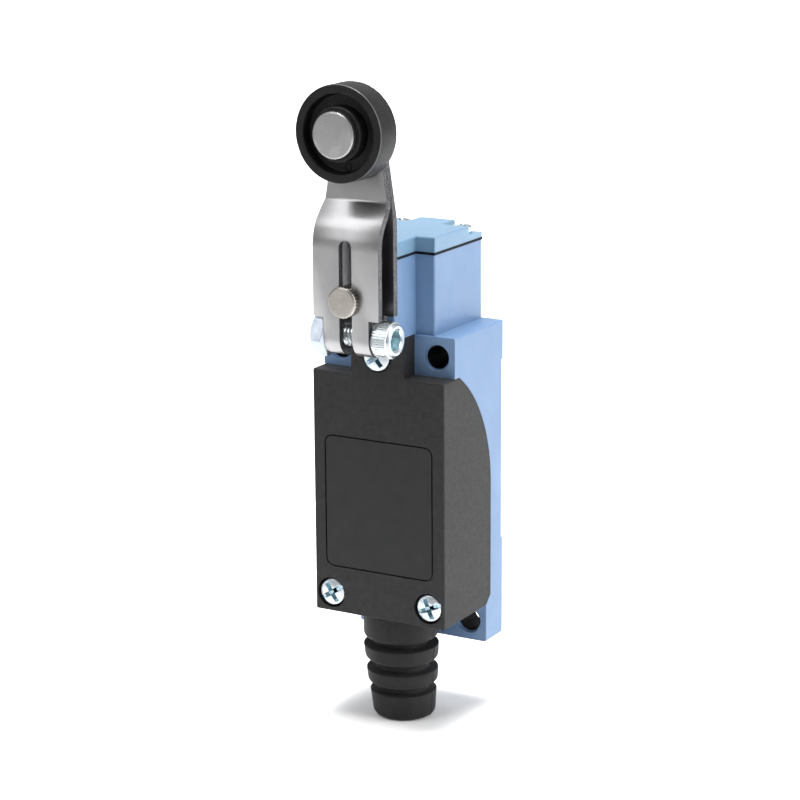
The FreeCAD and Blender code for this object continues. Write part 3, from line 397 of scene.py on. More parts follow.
@dataclass(frozen=True)
class PlainMetal:
    """A solid or plated metal part, from barrel plating, turning or stamping.

    The eye gets a clean metal colour whose gloss wavers a little from place to place, over faint handling marks.
    """

    name: str
    body: str
    shade: str
    roughness: float
    waver: float = 0.06
    cloud_mm: float = 2.5
    # Plating and machining marks are finer; they are drawn coarser so that they show.
    grain_mm: float = 0.18
    grain_height_mm: float = 0.003

    def make(self) -> bpy.types.Material:
        """Builds the material.

        Returns:
            The metal, with its wavering gloss.
        """
        pattern = Pattern(self.name, {"Metallic": 1.0, "Roughness": self.roughness})
        cloud = pattern.noise(self.cloud_mm, 3.0)
        pattern.colour(pattern.tint(pattern.spread(cloud, 0.0, 1.0), self.body, self.shade))
        grain = pattern.noise(self.grain_mm)
        pattern.roughness(pattern.spread(cloud, self.roughness - self.waver, self.roughness + self.waver))
        pattern.bump((grain, self.grain_height_mm))
        return pattern.material


@dataclass(frozen=True)
class StainlessStrip:
    """Cold-rolled stainless strip, blanked, bent and tumbled.

    The eye gets long soft reflections on the rolled faces, drawn out along the roll direction, a dull speckled
    edge where the punch tore the metal, and painted shade inside the fold.
    """

    name: str = "polished_stainless_strip"
    rolled: str = "#b5b5b6"
    rolled_shade: str = "#a9a9ab"
    torn: str = "#77777a"
    torn_dark: str = "#2c2c2e"
    # The colour of the painted shade inside the fold.
    inside: str = "#5e5e61"
    roughness: float = 0.29
    torn_roughness: float = 0.46
    # The fold's painted shade: the depth of its middle, half the gap between its faces, and where its darker side
    # starts and ends.
    fold_middle_mm: float = 31.85
    inner_gap_mm: float = 1.6
    outer_gap_mm: float = 1.0
    open_side_mm: tuple[float, float] = (1.5, 4.2)
    closed_side_share: float = 0.45
    # How far a face turns to the side before it counts as a torn edge.
    edge_facing: tuple[float, float] = (0.55, 0.85)
    # Rolling lines and torn grains are hundredths of a millimetre wide, which is drawn coarser so that it shows.
    line_mm: float = 0.12
    tear_mm: float = 0.22
    cloud_mm: float = 5.0

    def fold(self, pattern: Pattern, facing: bpy.types.NodeSocket) -> bpy.types.NodeSocket:
        """Finds the fold's inner faces, which look at each other and take painted shade, darkest at the open right
        side.

        Args:
            pattern: The material under construction.
            facing: The Y value of the surface's direction.

        Returns:
            A value that is 1 in the painted shade inside the fold and 0 on the outer faces.
        """
        tree = pattern.tree
        axes = add_node(tree, "ShaderNodeSeparateXYZ", links={"Vector": pattern.place.outputs["Object"]})
        away = add_node(tree, "ShaderNodeMath", {"operation": "ADD", 1: mm(self.fold_middle_mm)},
                        {0: axes.outputs["Y"]})
        inward = add_node(tree, "ShaderNodeMath", {"operation": "MULTIPLY"}, {0: away.outputs[0], 1: facing})
        within = pattern.spread(inward.outputs[0], 1.0, 0.0, mm(-self.inner_gap_mm), mm(-self.outer_gap_mm))
        start, end = self.open_side_mm
        side = pattern.spread(axes.outputs["X"], self.closed_side_share, 1.0, mm(start), mm(end))
        share = add_node(tree, "ShaderNodeMath", {"operation": "MULTIPLY"}, {0: within, 1: side})
        return share.outputs[0]

    def make(self) -> bpy.types.Material:
        """Builds the material.

        Returns:
            The strip's finish, told apart into rolled faces, torn edges and the painted shade inside the fold.
        """
        pattern = Pattern(self.name, {"Metallic": 1.0, "Roughness": self.roughness, "Anisotropic": 0.35})
        tree = pattern.tree
        normal = add_node(tree, "ShaderNodeSeparateXYZ", links={"Vector": pattern.place.outputs["Normal"]})
        aside = add_node(tree, "ShaderNodeMath", {"operation": "ABSOLUTE"}, {0: normal.outputs["X"]})
        edge = pattern.spread(aside.outputs[0], 0.0, 1.0, *self.edge_facing)
        cloud = pattern.noise(self.cloud_mm, 3.0)
        tear = pattern.noise(self.tear_mm, 4.0, (1.0, 0.6, 1.6))
        face = pattern.tint(pattern.spread(cloud, 0.0, 1.0), self.rolled, self.rolled_shade)
        sheared = pattern.tint(pattern.spread(tear, 0.0, 1.0, 0.42, 0.58), self.torn_dark, self.torn)
        outside = add_node(tree, "ShaderNodeMix", {"data_type": "RGBA"}, {0: edge, 6: face, 7: sheared})
        # The inside of the fold takes painted shade.
        colour = add_node(
            tree, "ShaderNodeMix", {"data_type": "RGBA", 7: linear(self.inside)},
            {0: self.fold(pattern, normal.outputs["Y"]), 6: outside.outputs[2]},
        )
        pattern.colour(colour.outputs[2])
        pattern.roughness(pattern.spread(edge, self.roughness, self.torn_roughness, 0.0, 1.0))
        lines = pattern.noise(self.line_mm, 2.0, (1.0, 1.0, 0.04))
        relief = add_node(tree, "ShaderNodeMix", {"data_type": "FLOAT"}, {0: edge, 2: lines, 3: tear})
        pattern.bump((relief.outputs[0], 0.004))
        return pattern.material


class Metal(Enum):
    """The bare and plated metals of the switch."""

    # Screw heads: bright zinc over steel, cool white with clear highlights.
    ZINC = PlainMetal("bright_zinc_plate", "#d4dade", "#c0c8cf", 0.26)
    # Driven recesses: zinc with a blue passivation, which pools there and reads as pale cyan.
    PASSIVATED = PlainMetal("blue_passivated_zinc", "#b3cad2", "#8fabb7", 0.24)
    # The bolt's socket: the same blue film, thinner and lighter on the broad walls.
    SOCKET = PlainMetal("blue_passivated_socket", "#d3e4e8", "#b7d0d6", 0.30)
    # The bolt: barrel plated zinc, the whitest metal here, its knurls softened by tumbling.
    BOLT = PlainMetal("barrel_plated_bolt_zinc", "#dfe4e6", "#cdd4d8", 0.28)
    # The nut: the same plating on rougher forged flats, a shade greyer.
    NUT = PlainMetal("barrel_plated_nut_zinc", "#c0c8d2", "#b0b9c5", 0.32)
    # The shaft: satin nickel over steel, a warm grey beside the zinc.
    NICKEL = PlainMetal("satin_nickel_plate", "#b9b4ae", "#aca6a1", 0.28)
    # The gaps between the index disc's teeth: painted shade on the nickel, dark and dull.
    GAP = PlainMetal("painted_shade_tooth_gaps", "#3a3634", "#2c2927", 0.40)
    # The roller's pin: ground steel, a neutral grey with an even soft gloss.
    PIN = PlainMetal("ground_steel_pin", "#b2b2b2", "#a4a4a5", 0.30)
    # Terminals and contact bridges: stamped brass, yellow and fairly bright.
    BRASS = PlainMetal("stamped_brass", "#d9b866", "#c9a453", 0.28)
    # Bushes: sintered bronze, brown and dull from its pores.
    BRONZE = PlainMetal("sintered_bronze", "#b58a4e", "#8d6a3c", 0.45)
    # Springs and the clip: drawn steel wire, grey and smooth.
    SPRING = PlainMetal("drawn_spring_wire", "#b9bcc2", "#9fa2a8", 0.26)


class Plastic(Enum):
    """The plastics and rubbers of the switch."""

    # The cover: glass-filled polyamide, a dry charcoal.
    COVER = MouldedBlack("moulded_black_polyamide")
    # The label: satin black film, smoother than the cover round it.
    LABEL = MouldedBlack("satin_black_label", "#1a1a1b", "#202021", 0.50, 0.30, 0.008, 3.0)
    # The roller: nylon, blacker and a little glossier than the cover.
    ROLLER = MouldedBlack("moulded_black_nylon", "#0c0c0d", "#19191a", 0.44, 0.45, 0.010, 2.0, 0.25)
    # The gland: soft rubber, deep black and dry.
    GLAND = MouldedRubber("moulded_black_rubber")
    # Seals: nitrile rubber, which shows as thin black lines.
    SEAL = MouldedRubber("nitrile_seal_rubber", "#06080e", "#0b0e18", 0.6, 0.1)
    # The roller's front rim: a painted highlight, a pale glossy line of nylon round its outer edge.
    RUBBED = MouldedBlack("painted_highlight_nylon_edge", "#4a4a4b", "#5c5c5d", 0.34, 0.40, 0.004, 1.0, 0.6)
    # The contact block's case: phenolic resin, brown-black and glossy.
    PHENOLIC = MouldedBlack("moulded_phenolic", "#211d1b", "#2a2522", 0.30, 0.5, 0.003, 3.0)
    # Its lid: ivory polycarbonate, warm and clean.
    IVORY = MouldedCap("moulded_ivory_polycarbonate", "#ddd5ba", "#d4cbb0", 0.32)
    # The moving carrier: red acetal, a strong even colour.
    RED = MouldedCap("moulded_red_acetal", "#a8231e", "#991d19", 0.32)


@dataclass(frozen=True)
class Softbox:
    """One rectangular soft light: its centre, the point it faces, its size, power and how wide its grid fans."""

    name: str
    spot: Triple
    aim: Triple
    width: float
    height: float
    watts: float
    spread_deg: float = 180.0

    def hang(self) -> None:
        """Hangs the light in the scene."""
        data = bpy.data.lights.new(self.name, "AREA")
        data.shape = "RECTANGLE"
        data.size = self.width
        data.size_y = self.height
        data.energy = self.watts
        data.spread = math.radians(self.spread_deg)
        light = bpy.data.objects.new(self.name, data)
        light.location = self.spot
        light.rotation_euler = (Vector(self.aim) - Vector(self.spot)).to_track_quat("-Z", "Y").to_euler()
        bpy.context.scene.collection.objects.link(light)


class Light(Enum):
    """The studio's lights, in metres and watts."""

    # Whitens the floor behind the switch without washing out its front.
    OVERHEAD = Softbox("overhead_softbox", (-0.05, 0.42, 0.70), (-0.05, 0.42, 0.0), 1.3, 1.1, 6.5, 36.0)
    # Keeps the far floor white.
    BACKDROP = Softbox("backdrop_softbox", (-0.80, 1.60, 1.40), (-0.80, 1.60, 0.0), 1.8, 1.5, 22.0, 90.0)
    # Lights the right side of the body.
    RIGHT = Softbox("right_softbox", (0.95, 0.10, 0.40), (0.0, -0.01, 0.02), 0.9, 0.9, 7.5)
    # Models the front from the upper left.
    LEFT = Softbox("left_softbox", (-0.43, -0.50, 0.70), (0.0, -0.03, 0.04), 0.60, 0.55, 2.5)
    # Lifts the lower front a little.
    LOW_FRONT = Softbox("low_front_softbox", (-0.58, -0.98, 0.42), (0.0, -0.03, 0.03), 0.5, 0.35, 0.9)


@dataclass(frozen=True)
class Studio:
    """The pale floor, the soft lights and the camera."""

    floor_reach: float = 4.0
    lens_mm: float = 112.23
    azimuth_deg: float = 29.667
    elevation_deg: float = 14.136
    roll_deg: float = -0.398
    distance: float = 0.49852
    aside: float = -0.007695
    above: float = 0.013747
    room_front: float = 0.30
    room_back: float = 0.7

    def camera(self) -> None:
        """Sets up the camera that looks down on the right front of the switch."""
        turn = math.radians(self.azimuth_deg)
        rise = math.radians(self.elevation_deg)
        roll = math.radians(self.roll_deg)
        back = Vector((math.sin(turn) * math.cos(rise), -math.cos(turn) * math.cos(rise), math.sin(rise)))
        level = Vector((math.cos(turn), math.sin(turn), 0.0))
        upright = back.cross(level)
        right = level * math.cos(roll) + upright * math.sin(roll)
        up = upright * math.cos(roll) - level * math.sin(roll)
        spot = back * self.distance + right * self.aside + up * self.above
        data = bpy.data.cameras.new("camera")
        data.lens = self.lens_mm
        data.clip_start = 0.01
        camera = bpy.data.objects.new("camera", data)
        turned = Matrix((right, up, back)).transposed().to_4x4()
        camera.matrix_world = Matrix.Translation(spot) @ turned
        bpy.context.scene.collection.objects.link(camera)
        bpy.context.scene.camera = camera

    def room(self) -> None:
        """Lights the room, which is dim in front and bright behind."""
        world = bpy.data.worlds.new("room")
        world.use_nodes = True
        world.node_tree.nodes.clear()
        tree = world.node_tree
        place = add_node(tree, "ShaderNodeTexCoord")
        axes = add_node(tree, "ShaderNodeSeparateXYZ", links={"Vector": place.outputs["Generated"]})
        share = add_node(
            tree, "ShaderNodeMapRange",
            {"From Min": -0.6, "From Max": 0.5, "To Min": self.room_front, "To Max": self.room_back},
            {"Value": axes.outputs["Y"]},
        )
        glow = add_node(tree, "ShaderNodeBackground", {"Color": linear("#ffffff")},
                        {"Strength": share.outputs["Result"]})
        add_node(tree, "ShaderNodeOutputWorld", links={"Surface": glow.outputs[0]})
        bpy.context.scene.world = world
        bpy.context.scene.view_settings.view_transform = "Standard"

    def floor(self) -> None:
        """Lays a plain pale floor under the switch."""
        low = CAD_BOX[0][2]
        reach = self.floor_reach
        mesh = bpy.data.meshes.new("floor")
        corners = [(-reach, -reach, low), (reach, -reach, low), (reach, reach, low), (-reach, reach, low)]
        mesh.from_pydata(corners, [], [(0, 1, 2, 3)])
        floor = bpy.data.objects.new("floor", mesh)
        bpy.context.scene.collection.objects.link(floor)
        paper = Pattern("white_paper_sweep", {"IOR": 1.45, "Roughness": 0.9, "Base Color": linear("#f7f7f7"),
                                              "Specular IOR Level": 0.0})
        mesh.materials.append(paper.material)

    def build(self) -> None:
        """Sets up the whole studio."""
        self.camera()
        for light in Light:
            light.value.hang()
        self.room()
        self.floor()


def dress(node: str, material: bpy.types.Material) -> None:
    """Gives a carried-over CAD node its finish.

    Args:
        node: The node's name.
        material: The finish.
    """
    piece = frame["nodes"][node]
    if not piece.material_slots:
        piece.data.materials.append(material)
    for slot in piece.material_slots:
        slot.material = material
    LOG.info("dressed %s in %s", node, material.name)


class Facing(Enum):
    """Which way a round piece points, as its axis and the two directions its angles run between."""

    FRONT = (Vector((0, -1, 0)), Vector((1, 0, 0)), Vector((0, 0, 1)))
    UP = (Vector((0, 0, 1)), Vector((1, 0, 0)), Vector((0, 1, 0)))
    RIGHT = (Vector((1, 0, 0)), Vector((0, 1, 0)), Vector((0, 0, 1)))


def softened(corners: list[Triple], closed: bool = False, steps: int = 5) -> Section:
    """Rounds the corners of a round piece's half section with true arcs.

    Args:
        corners: Each corner's distance along the axis, its radius and its rounding, in millimetres.
        closed: True where the section closes on itself round a bore.
        steps: How many sides one rounding has.

    Returns:
        The section's points as distance and radius, in millimetres.
    """
    points = []
    for number, (along, radius, rounding) in enumerate(corners):
        here = Vector((along, radius))
        if rounding == 0.0 or not (closed or 0 < number < len(corners) - 1):
            points.append(here)
            continue
        before = Vector(corners[number - 1][:2]) - here
        after = Vector(corners[(number + 1) % len(corners)][:2]) - here
        half_turn = (math.pi - before.angle(after)) / 2.0
        reach = min(rounding * math.tan(half_turn), SIDE_SHARE * before.length, SIDE_SHARE * after.length)
        start = here + before.normalized() * reach
        end = here + after.normalized() * reach
        for step in range(steps + 1):
            share = step / steps
            weights = ((1.0 - share) ** 2, 2.0 * math.cos(half_turn) * share * (1.0 - share), share ** 2)
            arc = start * weights[0] + here * weights[1] + end * weights[2]
            points.append(arc / sum(weights))
    return [(point.x, point.y) for point in points]


def run(start: tuple[float, float], end: tuple[float, float], steps: int) -> Section:
    """Points evenly along a straight stretch of a half section.

    Args:
        start: Its first distance and radius, in millimetres.
        end: Its last distance and radius, in millimetres.
        steps: How many parts it is cut into.

    Returns:
        The points, with both ends.
    """
    points = []
    for step in range(steps + 1):
        share = step / steps
        points.append((start[0] + (end[0] - start[0]) * share, start[1] + (end[1] - start[1]) * share))
    return points


def simply_round(along: float, radius: float, angle: float) -> float:
    """The shaping of a piece that is simply round."""
    return radius


def revolved(name: str, centre: Vector, facing: Facing, section: Section, sides: int,
             closed: bool = False, shaping: Shaping = simply_round) -> bpy.types.Object:
    """Turns a half section about an axis.

    Args:
        name: The new piece's name.
        centre: The axis's point at distance 0, in metres.
        facing: Which way the axis points.
        section: The half section's points as distance and radius, in millimetres.
        sides: How many sides the round has.
        closed: True where the section closes on itself round a bore.
        shaping: Gives the radius in millimetres from the distance, the plain radius and the angle.

    Returns:
        The piece, smooth, with its corners kept sharp.
    """
    ahead, across, upward = facing.value
    vertices = []
    rings = []
    for along, radius in section:
        middle = centre + ahead * mm(along)
        if radius == 0.0:
            rings.append([len(vertices)])
            vertices.append(middle)
            continue
        rings.append(list(range(len(vertices), len(vertices) + sides)))
        for side in range(sides):
            angle = 2.0 * math.pi * side / sides
            reach = mm(shaping(along, radius, angle))
            vertices.append(middle + (across * math.cos(angle) + upward * math.sin(angle)) * reach)
    faces = []
    pairs = list(zip(rings, rings[1:])) + ([(rings[-1], rings[0])] if closed else [])
    for low, high in pairs:
        for side in range(sides):
            after = (side + 1) % sides
            if len(low) == 1:
                faces.append((low[0], high[side], high[after]))
            elif len(high) == 1:
                faces.append((low[side], high[0], low[after]))
            else:
                faces.append((low[side], high[side], high[after], low[after]))
    mesh = bpy.data.meshes.new(name)
    mesh.from_pydata(vertices, [], faces)
    return finished(name, mesh)


def finished(name: str, mesh: bpy.types.Mesh) -> bpy.types.Object:
    """Makes a piece from a mesh, with its faces outward and smooth up to its corners.

    Args:
        name: The piece's name.
        mesh: Its mesh.

    Returns:
        The piece, linked to the scene.
    """
    build = bmesh.new()
    build.from_mesh(mesh)
    bmesh.ops.recalc_face_normals(build, faces=build.faces)
    build.to_mesh(mesh)
    build.free()
    mesh.shade_smooth()
    mesh.set_sharp_from_angle(angle=SMOOTH_ANGLE)
    piece = bpy.data.objects.new(name, mesh)
    bpy.context.scene.collection.objects.link(piece)
    return piece


def settle(piece: bpy.types.Object) -> None:
    """Applies a piece's modifiers to its mesh, and keeps its corners sharp.

    Args:
        piece: The piece.
    """
    graph = bpy.context.evaluated_depsgraph_get()
    mesh = bpy.data.meshes.new_from_object(piece.evaluated_get(graph), depsgraph=graph)
    piece.modifiers.clear()
    piece.data = mesh
    mesh.shade_smooth()
    mesh.set_sharp_from_angle(angle=SMOOTH_ANGLE)


def break_edges(piece: bpy.types.Object, width_mm: float, corner_deg: float = 35.0, segments: int = 2) -> None:
    """Rounds a piece's corners a little, as tumbling or a mould does.

    Args:
        piece: The piece.
        width_mm: The width of the rounding.
        corner_deg: Corners sharper than this are rounded.
        segments: How many sides a rounding has.
    """
    bevel = piece.modifiers.new("broken_edges", "BEVEL")
    bevel.limit_method = "ANGLE"
    bevel.angle_limit = math.radians(corner_deg)
    bevel.width = mm(width_mm)
    bevel.segments = segments
    settle(piece)


def cut(piece: bpy.types.Object, tool: bpy.types.Object) -> None:
    """Cuts a tool's shape out of a piece, whose new walls take the tool's finish.

    Args:
        piece: The piece.
        tool: The tool, which is used up.
    """
    boolean = piece.modifiers.new("cut", "BOOLEAN")
    boolean.operation = "DIFFERENCE"
    boolean.solver = "EXACT"
    boolean.object = tool
    boolean.material_mode = "TRANSFER"
    settle(piece)
    bpy.data.objects.remove(tool)


def stain(piece: bpy.types.Object, skin: bpy.types.Material, chosen: Callable[[Vector], bool]) -> None:
    """Gives some faces of a piece another finish.

    Args:
        piece: The piece.
        skin: The other finish.
        chosen: Tells from a face's centre whether it takes the finish.
    """
    piece.data.materials.append(skin)
    for face in piece.data.polygons:
        if chosen(face.center):
            face.material_index = len(piece.data.materials) - 1


def joined(name: str, pieces: list[bpy.types.Object]) -> bpy.types.Object:
    """Joins pieces of one part into one.

    Args:
        name: The new piece's name.
        pieces: The pieces, which are used up.

    Returns:
        The joined piece.
    """
    build = bmesh.new()
    skins = []
    for piece in pieces:
        start = len(build.faces)
        build.from_mesh(piece.data)
        build.faces.ensure_lookup_table()
        for face in build.faces[start:]:
            skin = piece.data.materials[face.material_index]
            if skin not in skins:
                skins.append(skin)
            face.material_index = skins.index(skin)
    mesh = bpy.data.meshes.new(name)
    build.to_mesh(mesh)
    build.free()
    for skin in skins:
        mesh.materials.append(skin)
    for piece in pieces:
        bpy.data.objects.remove(piece)
    whole = bpy.data.objects.new(name, mesh)
    bpy.context.scene.collection.objects.link(whole)
    return whole


def place(piece: bpy.types.Object, node: str) -> None:
    """Lets a piece stand for a CAD node: it rides on the node's body, and the node is hidden.

    Args:
        piece: The finished piece.
        node: The CAD node it replaces.
    """
    for body, members in frame["record"]["behaviour"]["bodies"].items():
        if node in members:
            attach(piece, body)
    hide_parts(node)
    LOG.info("made %s for %s with %d faces", piece.name, node, len(piece.data.polygons))


def reworked(node: str, name: str, width_mm: float) -> bpy.types.Object:
    """A new piece with a CAD node's shape and softly broken edges.

    Args:
        node: The CAD node whose shape it starts from.
        name: The new piece's name.
        width_mm: The width of the broken edges.

    Returns:
        The piece.
    """
    # The frame's split corners are welded and the edges inside its flat faces go, so only true corners are broken.
    mesh = bpy.data.meshes.new(name)
    build = bmesh.new()
    build.from_mesh(frame["nodes"][node].data)
    bmesh.ops.remove_doubles(build, verts=build.verts, dist=mm(0.0005))
    bmesh.ops.dissolve_limit(build, angle_limit=math.radians(0.2), verts=build.verts, edges=build.edges)
    build.to_mesh(mesh)
    build.free()
    for stored in [layer.name for layer in mesh.attributes if layer.name == "custom_normal"]:
        mesh.attributes.remove(mesh.attributes[stored])
    piece = finished(name, mesh)
    break_edges(piece, width_mm)
    return piece


def thread(pitch: float, depth: float) -> Shaping:
    """The shaping of a screw thread.

    Args:
        pitch: The distance between turns, in millimetres.
        depth: The height of its crests, in millimetres.

    Returns:
        The shaping, with crests at the plain radius.
    """
    def shape(along: float, radius: float, angle: float) -> float:
        """The thread's radius at one place."""
        # Slightly flattened crests and roots, with sloped flanks between them.
        turn = (along / pitch - angle / (2.0 * math.pi)) % 1.0
        return radius - depth * min(1.0, max(0.0, abs(2.0 * turn - 1.0) * 1.35 - 0.15))
    return shape


class Enclosure:
    """The housing, its cover, the head's cap and their seals: all carried over from the frame."""

    def build(self) -> None:
        """Dresses the carried-over nodes."""
        dress("housing", PowderCoat().make())
        dress("head_cap", MouldedCap().make())
        dress("front_cover", Plastic.COVER.value.make())
        dress("label_plate", Plastic.LABEL.value.make())
        seal = Plastic.SEAL.value.make()
        for node in ("cover_gasket", "head_cap_gasket", "shaft_seal"):
            dress(node, seal)


@dataclass
class CrossScrew:
    """A pan head screw with a cross recess and a rolled thread.

    The taper gives how far down the recess each level lies and how wide its wings still are there.
    """

    name: str
    seat: Vector
    facing: Facing
    turn_deg: float
    shank_length: float
    head_diameter: float = 5.5
    head_height: float = 1.5
    crown: float = 0.40
    dome: float = 0.30
    thread_diameter: float = 2.8
    pitch: float = 0.5
    wing_reach: float = 2.25
    wing_width: float = 0.95
    wing_depth: float = 1.30
    slot_width: float = 0.62
    slot_depth: float = 0.45
    over: float = 0.3
    taper: tuple[tuple[float, float], ...] = ((0.0, 1.0), (0.8, 0.62), (1.0, 0.2))
    sides: int = 72

    def axes(self) -> tuple[Vector, Vector, Vector]:
        """Gives the recess's axes: out of the head and along its two pairs of wings.

        Returns:
            Three directions.
        """
        ahead, across, upward = self.facing.value
        turn = math.radians(self.turn_deg)
        right = across * math.cos(turn) + upward * math.sin(turn)
        high = upward * math.cos(turn) - across * math.sin(turn)
        return ahead, right, high

    def head(self, skin: bpy.types.Material) -> bpy.types.Object:
        """Makes the domed head.

        Args:
            skin: The head's finish.

        Returns:
            The head, still without its recess.
        """
        rim = self.head_diameter / 2.0
        section = softened([
            (0.0, 0.0, 0.0), (0.0, rim, 0.12), (self.head_height - self.dome, rim, self.crown),
            (self.head_height, rim * 0.45, 2.0), (self.head_height, 0.0, 0.0),
        ], steps=7)
        head = revolved(f"{self.name}_head", self.seat, self.facing, section, self.sides)
        head.data.materials.append(skin)
        return head

    def cutter(self, skin: bpy.types.Material) -> bpy.types.Object:
        """Makes the tapered cross that is driven into the head.

        Args:
            skin: The recess's finish.

        Returns:
            The tool, above and inside the head.
        """
        ahead, right, high = self.axes()
        levels = [(self.head_height + self.over, 1.0 + self.over * 0.5)]
        levels += [(self.head_height - self.wing_depth * down, share) for down, share in self.taper]
        vertices = []
        for along, share in levels:
            reach = self.wing_reach * share
            half = min(self.wing_width / 2.0 * (0.45 + 0.55 * share), reach)
            outline = [(half, reach), (half, half), (reach, half), (reach, -half), (half, -half), (half, -reach),
                       (-half, -reach), (-half, -half), (-reach, -half), (-reach, half), (-half, half),
                       (-half, reach)]
            vertices += [self.seat + ahead * mm(along) + right * mm(x) + high * mm(y) for x, y in outline]
        count = len(vertices) // len(levels)
        faces = [tuple(range(count)), tuple(range((len(levels) - 1) * count, len(levels) * count))]
        for level in range(len(levels) - 1):
            for corner in range(count):
                after = (corner + 1) % count
                faces.append((level * count + corner, level * count + after,
                              (level + 1) * count + after, (level + 1) * count + corner))
        mesh = bpy.data.meshes.new(f"{self.name}_cross")
        mesh.from_pydata(vertices, [], faces)
        tool = finished(f"{self.name}_cross", mesh)
        tool.data.materials.append(skin)
        return tool

    def slot_cutter(self, skin: bpy.types.Material) -> bpy.types.Object:
        """Makes the flat blade that crosses the head along one pair of wings.

        Args:
            skin: The slot's finish.

        Returns:
            The tool, reaching past the head on both sides.
        """
        ahead, right, high = self.axes()
        half = self.slot_width / 2.0
        top = self.head_height + self.over
        vertices = []
        for along, width in ((top, half * 1.15), (self.head_height - self.slot_depth, half)):
            for x, y in ((1, 1), (1, -1), (-1, -1), (-1, 1)):
                vertices.append(self.seat + ahead * mm(along) + right * mm(x * self.head_diameter)
                                + high * mm(y * width))
        mesh = bpy.data.meshes.new(f"{self.name}_slot")
        sides = [(corner, (corner + 1) % 4, (corner + 1) % 4 + 4, corner + 4) for corner in range(4)]
        mesh.from_pydata(vertices, [], [(0, 1, 2, 3), (4, 5, 6, 7)] + sides)
        tool = finished(f"{self.name}_slot", mesh)
        tool.data.materials.append(skin)
        return tool

    def shank(self, skin: bpy.types.Material) -> bpy.types.Object:
        """Makes the threaded shank.

        Args:
            skin: The shank's finish.

        Returns:
            The shank, which starts just inside the head.
        """
        radius = self.thread_diameter / 2.0
        turns = self.shank_length / self.pitch
        section = [(0.2, 0.0)] + run((0.2, radius), (0.3 - self.shank_length, radius), round(turns * 6))
        section += [(-self.shank_length, radius * 0.7), (-self.shank_length, 0.0)]
        shank = revolved(f"{self.name}_shank", self.seat, self.facing, section, 32,
                         shaping=thread(self.pitch, self.pitch * 0.5))
        shank.data.materials.append(skin)
        return shank

    def build(self, skin: bpy.types.Material, recess: bpy.types.Material) -> bpy.types.Object:
        """Makes the whole screw, with its head's edges softened.

        Args:
            skin: The finish outside.
            recess: The finish of the recess.

        Returns:
            The screw.
        """
        head = self.head(skin)
        cut(head, self.cutter(recess))
        if self.slot_depth > 0.0:
            cut(head, self.slot_cutter(recess))
        break_edges(head, 0.05, 40.0)
        return joined(self.name, [head, self.shank(skin)])


@dataclass
class CapScrew(CrossScrew):
    """The smaller screw of the head's cap, whose recess has no slot."""

    head_diameter: float = 4.2
    head_height: float = 1.6
    dome: float = 0.2
    thread_diameter: float = 1.8
    pitch: float = 0.4
    wing_reach: float = 1.6
    wing_width: float = 0.75
    wing_depth: float = 1.0
    slot_depth: float = 0.0


@dataclass(frozen=True)
class Fasteners:
    """The screws of the cover and of the head's cap, each turned as its driver left it, and those inside."""

    cover_turns_deg: tuple[float, float] = (32.0, 23.0)
    tab_turn_deg: float = 35.0
    cap_turns_deg: tuple[float, float] = (12.0, -35.0)

    def build(self) -> None:
        """Makes the screws that show and dresses those that don't."""
        zinc = Metal.ZINC.value.make()
        passivated = Metal.PASSIVATED.value.make()
        low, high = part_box("cover_screws")
        rim = mm(CrossScrew.head_diameter) / 2.0
        seat = low.y + mm(CrossScrew.head_height)
        for side, x, turn in zip(("left", "right"), (low.x + rim, high.x - rim), self.cover_turns_deg):
            screw = CrossScrew(f"cover_screw_{side}", Vector((x, seat, low.z + rim)), Facing.FRONT, turn,
                               in_mm(high.y - seat))
            place(screw.build(zinc, passivated), "cover_screws")
        low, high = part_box("tab_screw")
        seat = low.y + mm(CrossScrew.head_height)
        screw = CrossScrew("cover_tab_screw", Vector((0.0, seat, low.z + rim)), Facing.FRONT,
                           self.tab_turn_deg, in_mm(high.y - seat))
        place(screw.build(zinc, passivated), "tab_screw")
        low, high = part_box("head_cap_screws")
        rim = mm(CapScrew.head_diameter) / 2.0
        seat = high.z - mm(CapScrew.head_height)
        for side, x, turn in zip(("left", "right"), (low.x + rim, high.x - rim), self.cap_turns_deg):
            screw = CapScrew(f"cap_screw_{side}", Vector((x, low.y + rim, seat)), Facing.UP, turn,
                             in_mm(seat - low.z))
            place(screw.build(zinc, passivated), "head_cap_screws")
        for node in ("terminal_clamps", "terminal_screws", "switch_case_screws", "earth_screw"):
            dress(node, zinc)


